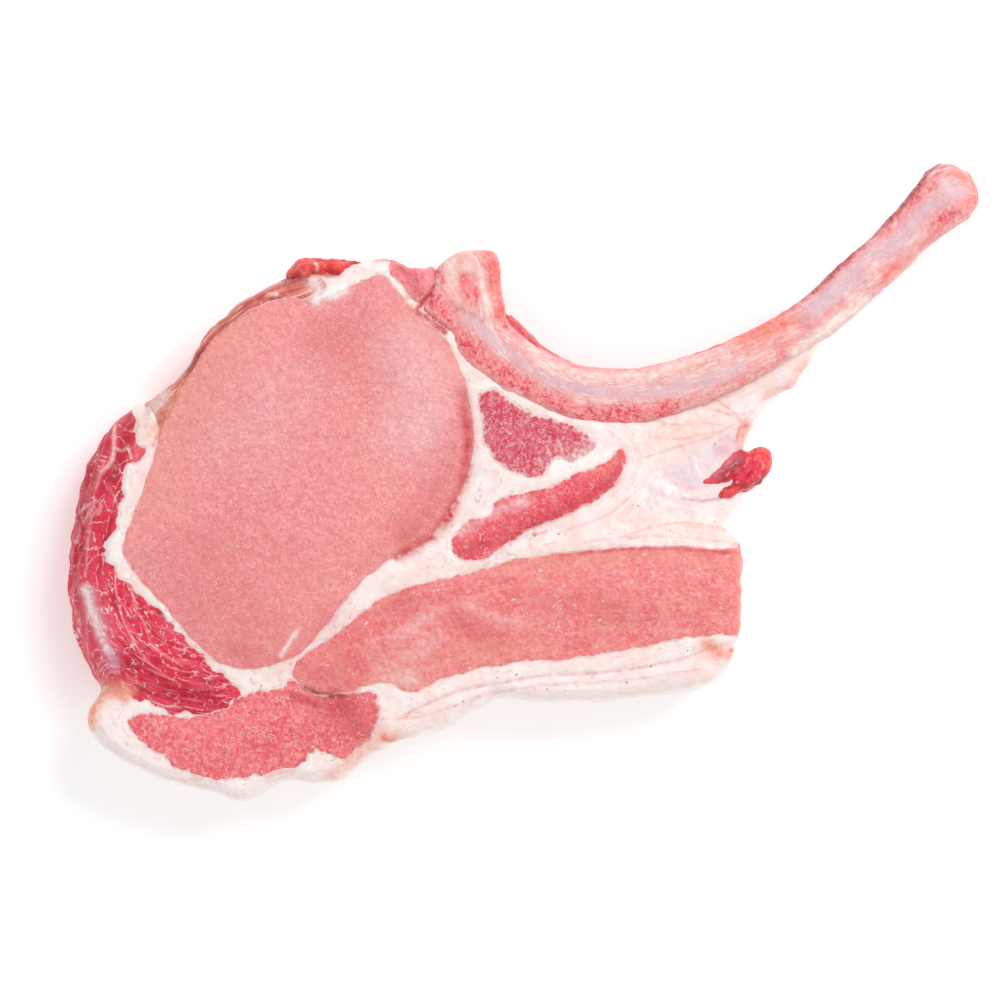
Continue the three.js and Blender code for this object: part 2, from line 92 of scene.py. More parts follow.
OUTLINES = {
    "loin_eye": [
        (-34.5, 49), (-30, 45), (-25, 39), (-19.5, 34.5), (-16, 29), (-13.5, 21.5), (-12, 9.5),
        (-14, 0), (-18.5, -8), (-24, -15.5), (-30.5, -18), (-37.5, -23), (-43, -29), (-49, -36.5),
        (-54.5, -42), (-64.5, -45), (-72.5, -43.5), (-79.5, -38), (-86.5, -29.5), (-94, -21),
        (-96, -16), (-92.5, -6), (-88.5, 6), (-86, 14.5), (-81, 24), (-75, 33), (-66, 40.5),
        (-58, 43.5), (-49.5, 43.5), (-42, 46),
    ],
    "cap_muscle": [
        (-94, 16.5), (-92.5, 13.5), (-92.5, 9.5), (-90.5, 7.5), (-91.5, 4.5), (-94.5, 3),
        (-95.5, -0.5), (-96, -4), (-97, -10.5), (-100, -16), (-98.5, -21), (-91.5, -27), (-87, -31),
        (-82, -36.5), (-76, -43), (-71, -48), (-68, -51), (-71.5, -54.5), (-78, -56), (-85, -55),
        (-93, -52), (-102.5, -48), (-111, -43), (-116, -26.5), (-114, -7), (-107, 12), (-99.5, 20),
    ],
    "belly_muscle": [
        (-55.5, -46), (-53, -42), (-44.5, -36.5), (-36.5, -29.5), (-27.5, -25.5), (-13, -22),
        (2.5, -18), (20.5, -16.5), (34, -15.5), (46, -16.5), (56, -16.5), (60, -26.5), (56.5, -36),
        (46, -37), (36.5, -38), (28, -40), (12, -42.5), (-1, -43.5), (-18, -47), (-27, -50.5),
        (-33.5, -48.5), (-44, -51), (-52.5, -50),
    ],
    "spine_muscle": [(-32.5, 51), (-31, 54), (-23, 54), (-21.5, 47), (-24.5, 42), (-28, 45)],
    "rib_muscle_upper": [
        (-10.5, 21), (-8, 22), (-1, 17.5), (6, 15), (14, 12), (17.5, 9), (16, 7), (12, 4.5),
        (7.5, 5), (5.5, 2), (3, 0.5), (-4.5, 3), (-9, 7.5), (-10.5, 14.5),
    ],
    "rib_muscle_lower": [
        (23.5, 8), (24.5, 5), (21, -2), (13.5, -6.5), (2.5, -11.5), (-3.5, -14.5), (-10, -19),
        (-16, -18.5), (-17.5, -15.5), (-14, -10), (-8.5, -8), (-6, -4.5), (3, -2.5), (11, 1),
        (19.5, 4.5), (21.5, 6.5),
    ],
    "side_strip": [
        (-96, 25), (-91.5, 18.5), (-89.5, 17.5), (-86, 11.5), (-82, 14.5), (-77.5, 23),
        (-71.5, 30.5), (-63.5, 38), (-57.5, 41.5), (-51, 42.5), (-47.5, 46), (-50.5, 50.5), (-59, 54),
        (-74, 46), (-86, 35),
    ],
    "lower_muscle": [
        (-95, -57.5), (-90, -55.5), (-80, -56.5), (-71, -54), (-66, -50.5), (-57.5, -49.5),
        (-55.5, -48), (-49, -51), (-36, -50.5), (-34.5, -53), (-36.5, -61), (-43, -66), (-50, -65),
        (-54, -69), (-66, -71), (-76.5, -71.5), (-83.5, -68), (-90, -63.5),
    ],
    "rib_bed_muscle": [
        (-6, 48), (-1, 43.5), (8.5, 33.5), (23, 30), (42, 35), (60, 42), (66, 36), (59, 31.5),
        (48.5, 26), (40, 22.5), (31, 20), (23, 19), (14.5, 19.5), (6.5, 22), (-2, 26.5),
        (-7, 32.5), (-8, 41),
    ],
}
BACKBONE = [
    (-21, 50), (-18.5, 53), (-15, 55), (-10, 55.2), (-7, 54.5), (-5.8, 52), (-5.6, 46),
    (-4.5, 40.5), (-6, 35), (-11, 33), (-15, 33.5), (-19.5, 36.5), (-24.5, 41), (-22, 45),
]
SKIN_SIDE = [
    (-120, -45), (-95, -48), (-80, -52), (-71, -52), (-66, -55), (-50, -55), (-42, -50),
    (-30, -44), (0, -34), (30, -30), (65, -28), (65, -85), (-120, -85),
]
RIB_LINE = [
    (-15, 51), (-12, 43.5), (-9.5, 35), (-2, 28), (6.5, 23.5), (14.5, 21), (23, 20.5),
    (31, 21.5), (40, 24), (48.5, 27), (59, 32.5), (70.5, 39.5), (78.5, 46.5), (85.5, 52.7),
    (92.5, 59.7), (99.5, 66.4), (107.2, 74),
]
print(len(OUTLINES), "muscle outlines,", len(RIB_LINE), "places along the rib")

# %% [markdown]
# ## Smooth outlines, distances and noise
#
# Three small tools do most of the work. A centripetal Catmull-Rom curve passes through every
# picked place without loops. A signed distance says how deep a place lies inside an outline, which
# drives the swell of the muscles and the bleeding of colours at a seam. Smooth noise makes things
# uneven in the way that grown things are.

# %% Tool: smooth curve
SPAN_PLACES = 24  # worked out between two picked places, before the curve is cut into even steps


def smooth_curve(points, step, closed=True):
    """Places at an even step along a centripetal Catmull-Rom curve through the points."""
    p = np.array(points, float)
    if closed:
        p = np.vstack([p[-1:], p, p[:2]])
    else:
        p = np.vstack([2 * p[0] - p[1], p, 2 * p[-1] - p[-2]])
    pieces = []
    for a, b, c, d in zip(p[:-3], p[1:-2], p[2:-1], p[3:]):
        ta = 0.0
        tb = ta + np.linalg.norm(b - a) ** 0.5
        tc = tb + np.linalg.norm(c - b) ** 0.5
        td = tc + np.linalg.norm(d - c) ** 0.5
        t = np.linspace(tb, tc, SPAN_PLACES, endpoint=False)[:, None]
        ab = ((tb - t) * a + (t - ta) * b) / (tb - ta)
        bc = ((tc - t) * b + (t - tb) * c) / (tc - tb)
        cd = ((td - t) * c + (t - tc) * d) / (td - tc)
        abc = ((tc - t) * ab + (t - ta) * bc) / (tc - ta)
        bcd = ((td - t) * bc + (t - tb) * cd) / (td - tb)
        pieces.append(((tc - t) * abc + (t - tb) * bcd) / (tc - tb))
    line = np.vstack(pieces + [p[-2:-1] if not closed else pieces[0][:1]])
    run = np.concatenate([[0], np.cumsum(np.linalg.norm(np.diff(line, axis=0), axis=1))])
    count = round(run[-1] / step)
    places = np.linspace(0, run[-1], count + (0 if closed else 1), endpoint=not closed)
    return np.stack([np.interp(places, run, column) for column in line.T], axis=1)


SQUARE = [(0, 0), (10, 0), (10, 10), (0, 10)]
rounded = smooth_curve(SQUARE, 0.5)
print("a curve through a square's corners:", len(rounded), "places")

# %% Tools: distance to a line, inside of an outline
CHUNK = 3000  # places worked on at a time, so that the tables stay small


def in_chunks(indices):
    """The indices as a few arrays of about equal length."""
    return np.array_split(indices, max(1, len(indices) // CHUNK))


def nearest_on(places, line, closed, reach):
    """For each place: distance to the line, share of the way along it, and side (+1 left).
    Places farther than reach from the line's box just get the distance reach."""
    start = line
    end = np.roll(line, -1, axis=0)
    if not closed:
        start, end = line[:-1], line[1:]
    step = end - start
    square = (step ** 2).sum(1)
    away = np.full(len(places), float(reach))
    share = np.zeros(len(places))
    side = np.ones(len(places))
    low, high = line.min(0) - reach, line.max(0) + reach
    near = np.nonzero(((places > low) & (places < high)).all(1))[0]
    for part in in_chunks(near):
        gap = places[part][:, None] - start[None]
        t = np.clip((gap * step).sum(2) / square, 0, 1)
        left = gap - t[..., None] * step
        far = (left ** 2).sum(2)
        best = far.argmin(1)
        rows = np.arange(len(part))
        away[part] = np.minimum(np.sqrt(far[rows, best]), reach)
        share[part] = (best + t[rows, best]) / len(start)
        turn = step[best, 0] * left[rows, best, 1] - step[best, 1] * left[rows, best, 0]
        side[part] = np.where(turn >= 0, 1, -1)
    return away, share, side


def is_inside(places, ring):
    """Even-odd test of each place against a closed outline."""
    inside = np.zeros(len(places), bool)
    near = np.nonzero(((places > ring.min(0)) & (places < ring.max(0))).all(1))[0]
    following = np.roll(ring, -1, axis=0)
    for part in in_chunks(near):
        x, y = places[part, 0, None], places[part, 1, None]
        crosses = (ring[:, 1] > y) != (following[:, 1] > y)
        rise = following[:, 1] - ring[:, 1]
        rise = np.where(rise == 0, 1e-9, rise)  # a level edge is never crossed
        at = ring[:, 0] + (y - ring[:, 1]) / rise * (following[:, 0] - ring[:, 0])
        inside[part] = (crosses & (x < at)).sum(1) % 2 == 1
    return inside


def depth_inside(places, ring, reach=40):
    """Signed distance to an outline in mm: positive inside, negative outside."""
    away = nearest_on(places, ring, closed=True, reach=reach)[0]
    return np.where(is_inside(places, ring), away, -away)


print("depth of two places in it:", depth_inside(np.array([(5, 5), (20, 5)]), rounded).round(1))

# %% Tools: noise, soft steps, normals
SEED_SHIFT = np.array([7.31, 3.17, 5.77])  # puts each seed's noise in another place
NOISE_GAIN = 1.4  # brings Blender's fractal noise to about -1 to 1


def rumple(places, size, seed=0, octaves=1):
    """Smooth noise, roughly -1 to 1, with lumps about size mm across."""
    spots = np.zeros((len(places), 3))
    spots[:, :places.shape[1]] = places / size
    spots += seed * SEED_SHIFT
    return np.array([noise.fractal(spot, 1.0, 2.0, octaves) for spot in spots.tolist()]) * NOISE_GAIN


def rumples(places, *layers):
    """The sum of several noises: (height in mm, size in mm, seed, octaves) each."""
    return sum(tall * rumple(places, size, seed, octaves) for tall, size, seed, octaves in layers)


def smoothstep(value, low, high):
    """0 below low, 1 above high and an even slope between them."""
    t = np.clip((value - low) / (high - low), 0, 1)
    return t * t * (3 - 2 * t)


def normals_of(ring):
    """Outward unit normals of a counter-clockwise ring."""
    along = np.roll(ring, -1, axis=0) - np.roll(ring, 1, axis=0)
    along /= np.linalg.norm(along, axis=1)[:, None]
    return np.stack([along[:, 1], -along[:, 0]], axis=1)


def counter_clockwise(ring):
    """The ring, turned round if it runs clockwise."""
    following = np.roll(ring, -1, axis=0)
    area = (ring[:, 0] * following[:, 1] - following[:, 0] * ring[:, 1]).sum()
    return ring if area > 0 else ring[::-1]


print("two noises at its corners:", rumples(np.array(SQUARE), (1, 3, 1, 1), (0.5, 1, 2, 1)).round(2))

# %% [markdown]
# ## Ragged seams
#
# A knife leaves the outside of the loin clean, but where a muscle frays into the fat its border
# is ragged. Each outline is moved along its own normals by noise, by an amount picked for that
# muscle. The fat is whatever is left, so the two always fit.

# %% Rings, one for each muscle
STEP = 0.46  # mm between places in the net
RAGGED = {  # how far each border frays and how long its lumps are, in mm
    "loin_eye": (0.3, 3.0), "cap_muscle": (1.0, 2.6), "belly_muscle": (0.45, 3.0),
    "spine_muscle": (0.4, 2.5), "rib_muscle_upper": (0.5, 2.4), "rib_muscle_lower": (0.4, 2.6),
    "side_strip": (0.6, 3.5), "lower_muscle": (0.8, 2.2), "rib_bed_muscle": (0.4, 3.0),
}


def ragged_ring(points, amount, size, seed):
    """A closed curve through the points, frayed by an amount in mm, in lumps of a size in mm."""
    ring = counter_clockwise(smooth_curve(points, STEP))
    shift = rumple(ring, size, seed, 2) * amount
    return ring + normals_of(ring) * shift[:, None]


chop_ring = ragged_ring(CHOP, 0.3, 4.0, 1)
rings = {
    name: ragged_ring(points, *RAGGED[name], seed)
    for seed, (name, points) in enumerate(OUTLINES.items(), start=2)
}
rib_line = smooth_curve(RIB_LINE, 0.6, closed=False)
print("chop outline:", len(chop_ring), "places; rib line:", len(rib_line), "places")

# %% [markdown]
# ## How the rim leans
#
# The side of the slab isn't a straight wall. It swells at mid height, rounds over into the cut
# face, and leans back where the cap muscle's outer skin shows. The rim rows give that section, and
# a soft field of directions carries the stand-back into the face, so the face's own edge moves in
# with the rim and no fold appears.

# %% The rim and its lean
SLAB = 26.0  # mm thick, a generous cut
RIM_ROWS = [  # height in mm, stand-back, further stand-back where the rim leans
    (0, 1.8, 0.4), (2.6, 0.8, 0.2), (11, 0, 0), (18.2, 0.15, 1.2), (23.2, 0.6, 3.4),
    (24.9, 1.5, 4.8), (26, 3.2, 6.2),
]
LEAN_FROM, LEAN_FULL = (-84, -56), (-104, -42)  # where the rim starts to lean and leans fully
CRISP_FROM, CRISP_FULL, CRISPNESS = (-38, 0), (-54, 14), 0.62
PULL_SOFTNESS = 2.0  # square mm
BAND_TIMES, BAND_LEAST = 2.7, 1.5  # width in mm of the moved band: times the stand-back, and least
ROUNDS, ROUND_SHARE = 6, 0.8  # of the search for a place's start


def lean_share(places):
    """1 on the cap's outer side, where the rim leans back, 0 elsewhere."""
    leftwards = smoothstep(-places[:, 0], -LEAN_FROM[0], -LEAN_FULL[0])
    return leftwards * smoothstep(places[:, 1], LEAN_FROM[1], LEAN_FULL[1])


def stand_back(places, row):
    """How far a row of the rim stands back; the edge is crisper along the thin side strip."""
    leftwards = smoothstep(-places[:, 0], -CRISP_FROM[0], -CRISP_FULL[0])
    crisp = CRISPNESS * leftwards * smoothstep(places[:, 1], CRISP_FROM[1], CRISP_FULL[1])
    return row[1] * (1 - crisp) + row[2] * lean_share(places)


coarse_chop = chop_ring[::3]
coarse_inward = -normals_of(coarse_chop)


def inward_pull(places):
    """Soft inward direction near the rim: the mean of nearby rim normals."""
    pull = np.zeros_like(places)
    for part in in_chunks(np.arange(len(places))):
        square = ((places[part][:, None] - coarse_chop[None]) ** 2).sum(2)
        weight = 1 / (square + PULL_SOFTNESS) ** 2
        pull[part] = (weight[..., None] * coarse_inward[None]).sum(1) / weight.sum(1)[:, None]
    return pull


def moved_in(places, depth, row):
    """Places on a face after the rim's row at that face has pushed its edge in."""
    back = stand_back(places, row)
    width = BAND_TIMES * back + BAND_LEAST
    left = np.clip(1 - depth / width, 0, 1)
    band = np.nonzero(left > 0)[0]
    moved = places.copy()
    moved[band] += inward_pull(places[band]) * (back[band] * left[band] ** 2)[:, None]
    return moved


def before_moving(target):
    """Where a place has to start so that the rounding of the edge brings it to its target."""
    places = target.copy()
    for _ in range(ROUNDS):
        depth = np.maximum(depth_inside(places, coarse_chop), 0)
        places += ROUND_SHARE * (target - moved_in(places, depth, RIM_ROWS[-1]))
    return places


print("rim rows:", len(RIM_ROWS), " stands back up to", sum(RIM_ROWS[-1][1:]), "mm")

# %% [markdown]
# ## One net over the whole face
#
# The face is triangulated once, with every outline as a fixed line in the net. Each triangle then
# belongs to the muscle whose outline holds it, or to the fat. Because neighbours share the same
# net, their borders match to the last place and no gap can open at a seam. Along the rim a
# triangle asks the outlines as they are before the rounding, so the side shows what lies there.

# %% Triangulate the face
ROW_SPACING = 0.866  # of a step, which makes the grid's triangles even
CLEAR_OF_LINES = 0.55  # of a step, so that no grid place crowds an outline
MERGE_BELOW = 1e-5
start_rings = {name: before_moving(ring) for name, ring in rings.items()}
low, high = chop_ring.min(0), chop_ring.max(0)
grid_x, grid_y = np.meshgrid(
    np.arange(low[0], high[0], STEP), np.arange(low[1], high[1], STEP * ROW_SPACING)
)
grid_x[1::2] += STEP / 2
grid = np.stack([grid_x.ravel(), grid_y.ravel()], axis=1)
grid = grid[is_inside(grid, coarse_chop)]
fixed = [chop_ring] + list(start_rings.values())


def finder(places):
    """Finds the nearest of the places in the plan."""
    found = KDTree(len(places))
    for number, place in enumerate(places.tolist()):
        found.insert((*place, 0), number)
    found.balance()
    return found


on_lines = finder(np.vstack(fixed))
gaps = np.array([on_lines.find((x, y, 0))[2] for x, y in grid.tolist()])
grid = grid[gaps > CLEAR_OF_LINES * STEP]

points = [Vector(place) for place in np.vstack(fixed + [grid]).tolist()]
edges, first = [], 0
for ring in fixed:
    count = len(ring)
    edges += [(first + i, first + (i + 1) % count) for i in range(count)]
    first += count
face_net = delaunay_2d_cdt(points, edges, [], 0, MERGE_BELOW)
plan = np.array([tuple(place) for place in face_net[0]])
triangles = np.array([corners for corners in face_net[2] if len(corners) == 3])
triangles = triangles[is_inside(plan[triangles].mean(1), chop_ring)]
print("face net:", len(plan), "places,", len(triangles), "triangles")

# %% Give each triangle to a muscle or to the fat
RIM_BAND = 0.9  # mm from the rim
middles = plan[triangles].mean(1)
names = list(rings) + ["seam_fat", "outer_fat"]
on_skin_side = is_inside(middles, np.array(SKIN_SIDE, float))
labels = np.where(on_skin_side, names.index("outer_fat"), names.index("seam_fat"))
near_rim = np.nonzero(depth_inside(middles, coarse_chop, reach=5) < RIM_BAND)[0]
for which, outlines in ((np.arange(len(middles)), start_rings), (near_rim, rings)):
    for name in reversed(rings):  # the first outline wins where two overlap
        labels[which[is_inside(middles[which], outlines[name])]] = names.index(name)
# the lower muscle lies in the outer fat and doesn't reach the side
labels[near_rim[labels[near_rim] == names.index("lower_muscle")]] = names.index("outer_fat")
for number, name in enumerate(names):
    print(f"  {name}: {(labels == number).sum()} triangles")

# %% [markdown]
# ## The lie of the cut face
#
# Meat is soft, so a cut face isn't flat. Each muscle swells a little between its seams, the thin
# fat flap below the rib sags, and the meat sinks beside the bone. Under the bone the face drops
# away, so the bone lies in a bed. All of it is one height for each place in the plan.

# %% Height of the meat
CROWN = {  # how far each muscle swells above its seams, in mm
    "loin_eye": 1.5, "cap_muscle": 0.8, "belly_muscle": 1.2, "spine_muscle": 0.4,
    "rib_muscle_upper": 0.3, "rib_muscle_lower": 0.6, "lower_muscle": 0.9,
}
SWELL_WIDTH = 7  # mm, from a seam to the full swell
EDGE_DROP, EDGE_WIDTH = 0.8, 7  # mm, how the face rounds down to the rim
LEAN_DROP, LEAN_WIDTH = 2.8, 7  # mm more, where the rim leans back
FLAP_SAG, FLAP_X, FLAP_Y = 3.5, (14, 52), (-17, -8)  # mm, where the flap begins and sags fully
WAVE, WAVE_X, WAVE_Y = 0.35, 50, 63  # mm, a slight wave in the whole slab
RIM_REACH, SEAM_REACH = 30, 22  # mm, as far as the distances are needed
chop_depth = np.maximum(depth_inside(plan, coarse_chop, RIM_REACH), 0)
face = moved_in(plan, chop_depth, RIM_ROWS[-1])
face_depth = np.maximum(depth_inside(face, coarse_chop, RIM_REACH), 0)
depths = {name: depth_inside(face, ring[::2], SEAM_REACH) for name, ring in rings.items()}

lean = lean_share(face)
edge = 1 - np.clip(face_depth / (EDGE_WIDTH + LEAN_WIDTH * lean), 0, 1)
height = SLAB - (EDGE_DROP + LEAN_DROP * lean) * edge ** 2
for name, crown in CROWN.items():
    height += crown * (1 - np.exp(-(np.maximum(depths[name], 0) / SWELL_WIDTH) ** 2))
height -= FLAP_SAG * smoothstep(face[:, 0], *FLAP_X) * smoothstep(face[:, 1], *FLAP_Y)
wave_x = np.sin(2 * np.pi * face[:, 0] / WAVE_X + 1)
wave_y = np.cos(2 * np.pi * face[:, 1] / WAVE_Y)
height += WAVE * wave_x * wave_y
print(f"meat {height.min():.1f} to {height.max():.1f} mm high")

# %% Bed of the bone
RIB_HALF_WIDTHS = np.array([  # share of the way along the rib, half width in mm
    (0, 0), (0.004, 3.5), (0.015, 5.4), (0.05, 6.4), (0.18, 6.3), (0.3, 6.3), (0.42, 5.9),
    (0.5, 5.6), (0.6, 5.3), (0.68, 5.6), (0.75, 5.9), (0.82, 5.6), (0.88, 5.9), (0.92, 6.7),
    (0.95, 7.8), (0.975, 6.9), (0.99, 4.6), (1, 0),
])
RIB_BELLY = np.array([  # share of the way along, further width on the lower side in mm
    (0.05, 0), (0.11, 2.2), (0.16, 1.4), (0.2, 0.9), (0.3, 1.4), (0.37, 1.4), (0.46, 0.7), (0.56, 0),
])
DIP_UPPER, DIP_LOWER, DIP_FROM, DIP_WIDTH = 1.6, 0.1, 6, 3.5  # mm, the meat sinks beside the rib
BED_DEPTH, BED_EDGE, LOWER_LAP = 8, (0.5, 1.8), 0.7  # mm; the fat laps over the lower side
BLOCK_FLOOR, BLOCK_EDGE = 2.9, (0.6, 1.4)  # mm, the face under the piece of backbone
backbone_ring = counter_clockwise(smooth_curve(BACKBONE, 0.6))
rib_away, rib_share, rib_side = nearest_on(face, rib_line, closed=False, reach=40)
upper = rib_side > 0
rib_gap = rib_away - np.interp(rib_share, *RIB_HALF_WIDTHS.T)
rib_gap -= np.where(upper, 0, np.interp(rib_share, *RIB_BELLY.T))
dip = np.where(upper, DIP_UPPER, DIP_LOWER)
height -= dip * np.exp(-(np.maximum(rib_away - DIP_FROM, 0) / DIP_WIDTH) ** 2)
under_bone = np.where(upper, -rib_gap, -rib_gap - LOWER_LAP)
height -= BED_DEPTH * smoothstep(under_bone, *BED_EDGE)
bed = smoothstep(depth_inside(face, backbone_ring, reach=20), *BLOCK_EDGE)
height = height * (1 - bed) + BLOCK_FLOOR * bed
print(f"face with the bed {height.min():.1f} to {height.max():.1f} mm high")

# %% [markdown]
# ## Strokes
#
# Much of what makes a cut of meat look real has a place: a dark crease under a tip, a red band of
# marrow, a lilac membrane. Each is a brush stroke: a line of places, a width and a strength. Some
# strokes raise or sink the surface, the others become numbers on the mesh that a material turns
# into colour.

# %% Strokes on the loin and the side strip
LOIN_STROKES = [  # kind, half width in mm, strength, places
    # darker right edge, cooler middle, tan left edge, pale veil at the upper right
    ("pale", 0.5, 1, [(-58.1, -41.9), (-56.2, -38.8), (-54.2, -35.9)]),
    # deeper red at the right edge, partly painted shade where the swell turns down to the seam
    ("blood_and_shade", 1.7, 0.75, [(-15, 20.5), (-13.6, 12), (-13.8, 3), (-16.6, -5.5), (-22, -13.2),
                          (-29, -17.4)]),
    ("blood_and_shade", 4.5, 0.28, [(-17.5, 12), (-20, -2), (-27, -12)]),
    ("blood_and_shade", 8, 0.22, [(-47, 33), (-36, 35), (-30, 30)]),
    ("blood_and_shade", 11, 0.16, [(-72, -14), (-72, -28), (-64, -37)]),
    ("blood_and_shade", 4, 0.3, [(-46, -33), (-52, -39), (-60, -41.5), (-70, -40)]),
    ("orange", 5.5, 0.4, [(-66, 36), (-75, 27), (-80, 17), (-84.5, 8), (-88, -3)]),
    ("orange", 3.5, 0.35, [(-28, 40), (-22, 33), (-18.5, 26)]),
    ("orange", 6, 0.25, [(-52, -24), (-58, -34), (-70, -38)]),
    # the same deeper red and painted shade along the lower right edge
    ("blood_and_shade", 1.3, 0.8, [(-21.5, -13.4), (-25.4, -16.2), (-30, -18.2)]),
    ("blood_and_shade", 3.5, 0.4, [(-23, -8), (-28, -13)]),
    # the pale veil at the upper right: painted sheen
    ("pale", 8, 0.28, [(-29, 32), (-24, 20), (-27, 10)]),
    ("pale", 10, 0.14, [(-58, 22), (-70, 6)]),
    ("brown", 0.4, 0.25, [(-64.1, 41.2), (-68.2, 38.6), (-71.8, 36.1), (-75.6, 32.4)]),
    ("brown", 0.45, 0.75, [(-75.6, 32.4), (-78.4, 29), (-80.8, 24.6), (-82.8, 20.5), (-84.7, 16.4),
                          (-86.9, 12.1), (-88.6, 8.5)]),
]
SIDE_STROKES = [
    # red rim, brownish inner side, cream foot, fibrous upper end
    ("blood_and_shade", 0.9, 1.1, [(-86.2, 22.6), (-83, 25.2), (-80.2, 27.6), (-78.3, 30)]),
    ("orange", 2.2, 0.8, [(-81, 24), (-83.6, 19.5), (-85.8, 15.4), (-88.2, 10.6)]),
    ("brown", 2.4, 0.22, [(-86.6, 21.5), (-89.6, 17), (-91, 13)]),
    ("pale", 1.8, 0.6, [(-86.6, 20.5), (-88.8, 17.2)]),
    ("orange", 1.2, 0.8, [(-74.6, 37.6), (-71.2, 39.8), (-68.4, 41.4)]),
    ("blood_and_shade", 0.9, 0.45, [(-73, 35.8), (-68.6, 39.9), (-62.9, 44), (-57.4, 46.4), (-53, 48.6)]),
    ("brown", 0.7, 0.45, [(-57.6, 49), (-54.4, 48.2), (-51.6, 47.6)]),
    ("pale", 1.7, 1.1, [(-50.3, 48), (-49.4, 44.8), (-49.6, 43.4)]),
    ("pale", 1.7, 1.1, [(-49.8, 46), (-46.6, 44.6), (-43.4, 45.6)]),
    ("orange", 1.5, 0.3, [(-57.5, 45), (-54, 45.4), (-51.5, 45)]),
    ("blood_and_shade", 0.9, 0.9, [(-57, 47.8), (-54, 48.6), (-50.5, 48.8)]),
    ("blood_and_shade", 0.7, 0.8, [(-48.6, 49.2), (-44.4, 49)]),
    ("pale", 0.5, 0.8, [(-60.8, 44.6), (-59.2, 44.5)]),
    # dark crevices between the eye, the backbone and the muscle beside it, red with painted shade
    ("blood_and_shade", 0.75, 1.7, [(-25.6, 40.6), (-22.6, 38.4), (-19, 35.6)]),
    ("blood_and_shade", 0.7, 1.5, [(-20.8, 50.5), (-20.8, 47.4), (-22.6, 44.3), (-25.2, 41.4)]),
    # a red strand along the top edge of the fat
    ("blood_and_shade", 0.6, 1, [(-35.5, 53), (-32.5, 53), (-29.6, 52.4), (-27.8, 51.6)]),
    ("blood_and_shade", 1.6, 0.6, [(-29.5, 51), (-26.5, 48.5), (-25.5, 45)]),
]
print(len(LOIN_STROKES) + len(SIDE_STROKES), "strokes")

# %% Strokes on the cap and the belly
CAP_STROKES = [
    # fat in its clefts, long pale lines, the pearly patch (membrane, painted reflection), dark side
    ("pale", 0.5, 0.75, [(-98.4, 13.3), (-98.2, 8), (-98.8, 4.4), (-101.2, 2.2)]),
    ("pale", 0.3, 0.9, [(-98.3, 8), (-96.2, 7.1), (-94.8, 7.8), (-93.8, 5.4)]),
    ("pale", 0.25, 0.45, [(-101.2, 2.2), (-102.8, -3.6), (-104.2, -12), (-105, -23)]),
    ("pale", 0.25, 0.7, [(-107.3, -7.8), (-104.6, -6), (-102.2, -4.9)]),
    ("pale", 0.25, 0.6, [(-102.2, -4.9), (-106.1, -10.9), (-107.2, -15)]),
    ("pale", 0.2, 0.45, [(-100.6, 0), (-97.6, -4.5), (-96.6, -10)]),
    ("pale", 1.1, 0.9, [(-105, -25.8), (-103.4, -31), (-101.6, -36.4)]),
    ("pale", 0.7, 1, [(-100.8, -38.4), (-99.4, -41)]),
    ("lilac", 1.9, 0.6, [(-103.6, -27), (-101, -36), (-98.4, -44)]),
    ("pale", 0.2, 0.4, [(-94.6, -22.5), (-93.2, -29), (-90.2, -35.6), (-89, -39.2), (-81.8, -44.3)]),
    ("pale", 0.2, 0.35, [(-97.5, -18), (-97.6, -26), (-95.5, -34), (-90, -43), (-82, -49)]),
    ("blood_and_shade", 0.7, 0.8, [(-101.5, 12), (-105.2, 2), (-107.2, -12), (-107.4, -26), (-104.6, -38)]),
    ("blood_and_shade", 0.8, 0.7, [(-99.6, 12), (-102.6, 4), (-105.4, -9), (-105.6, -20)]),
    ("blood_and_shade", 1.6, 0.6, [(-95, 14), (-95.5, 8), (-99, 1)]),
    ("blood_and_shade", 3, 0.6, [(-94, -44.5), (-85, -49.5), (-75, -52.5)]),
]
BELLY_STROKES = [
    # streaks across it, red at its left end, lighter foot
    ("blood_and_shade", 1.2, 0.5, [(-19.9, -28.2), (-13.4, -34.7), (-7.9, -37.6)]),
    ("blood_and_shade", 1, 0.4, [(-24, -27.5), (-18, -32), (-12, -38)]),
    ("blood_and_shade", 1, 0.3, [(-28.5, -29.5), (-24, -33.5), (-19, -40)]),
    ("blood_and_shade", 4, 0.32, [(-30, -30), (-22, -31), (-14, -34), (-8, -38)]),
    ("blood_and_shade", 3.5, 0.25, [(-2, -28), (12, -29), (30, -31)]),
    ("blood_and_shade", 5, 0.35, [(-50, -44.5), (-42, -45.5)]),
    ("pale", 1.8, 0.28, [(-20.5, -31), (-25.5, -34.5), (-31.5, -38)]),
    ("pale", 2.4, 0.22, [(-21.5, -38), (-28, -42), (-33, -43.5)]),
    ("pale", 1.6, 0.2, [(-14, -29.5), (-9, -32), (-2, -34)]),
    ("pale", 2.6, 0.4, [(-34, -46.5), (-27, -47.5)]),
    ("orange", 3.4, 0.35, [(-36, -46), (-26, -45.5), (-14, -41.5), (4, -38.8)]),
    ("orange", 2.4, 0.35, [(-8, -21.5), (10, -19.2), (34, -18.4), (50, -19.5)]),
    # a thin dark red line along the upper seam: painted shade in the crease under the fat's edge
    ("blood_and_shade", 0.5, 0.8, [(8.6, -18), (18.2, -16.9), (32.6, -16.2), (51.4, -17.4)]),
    ("brown", 0.5, 0.9, [(-52.3, -49.6), (-48.5, -51.2), (-43, -51.6)]),
]
print(len(CAP_STROKES) + len(BELLY_STROKES), "strokes")

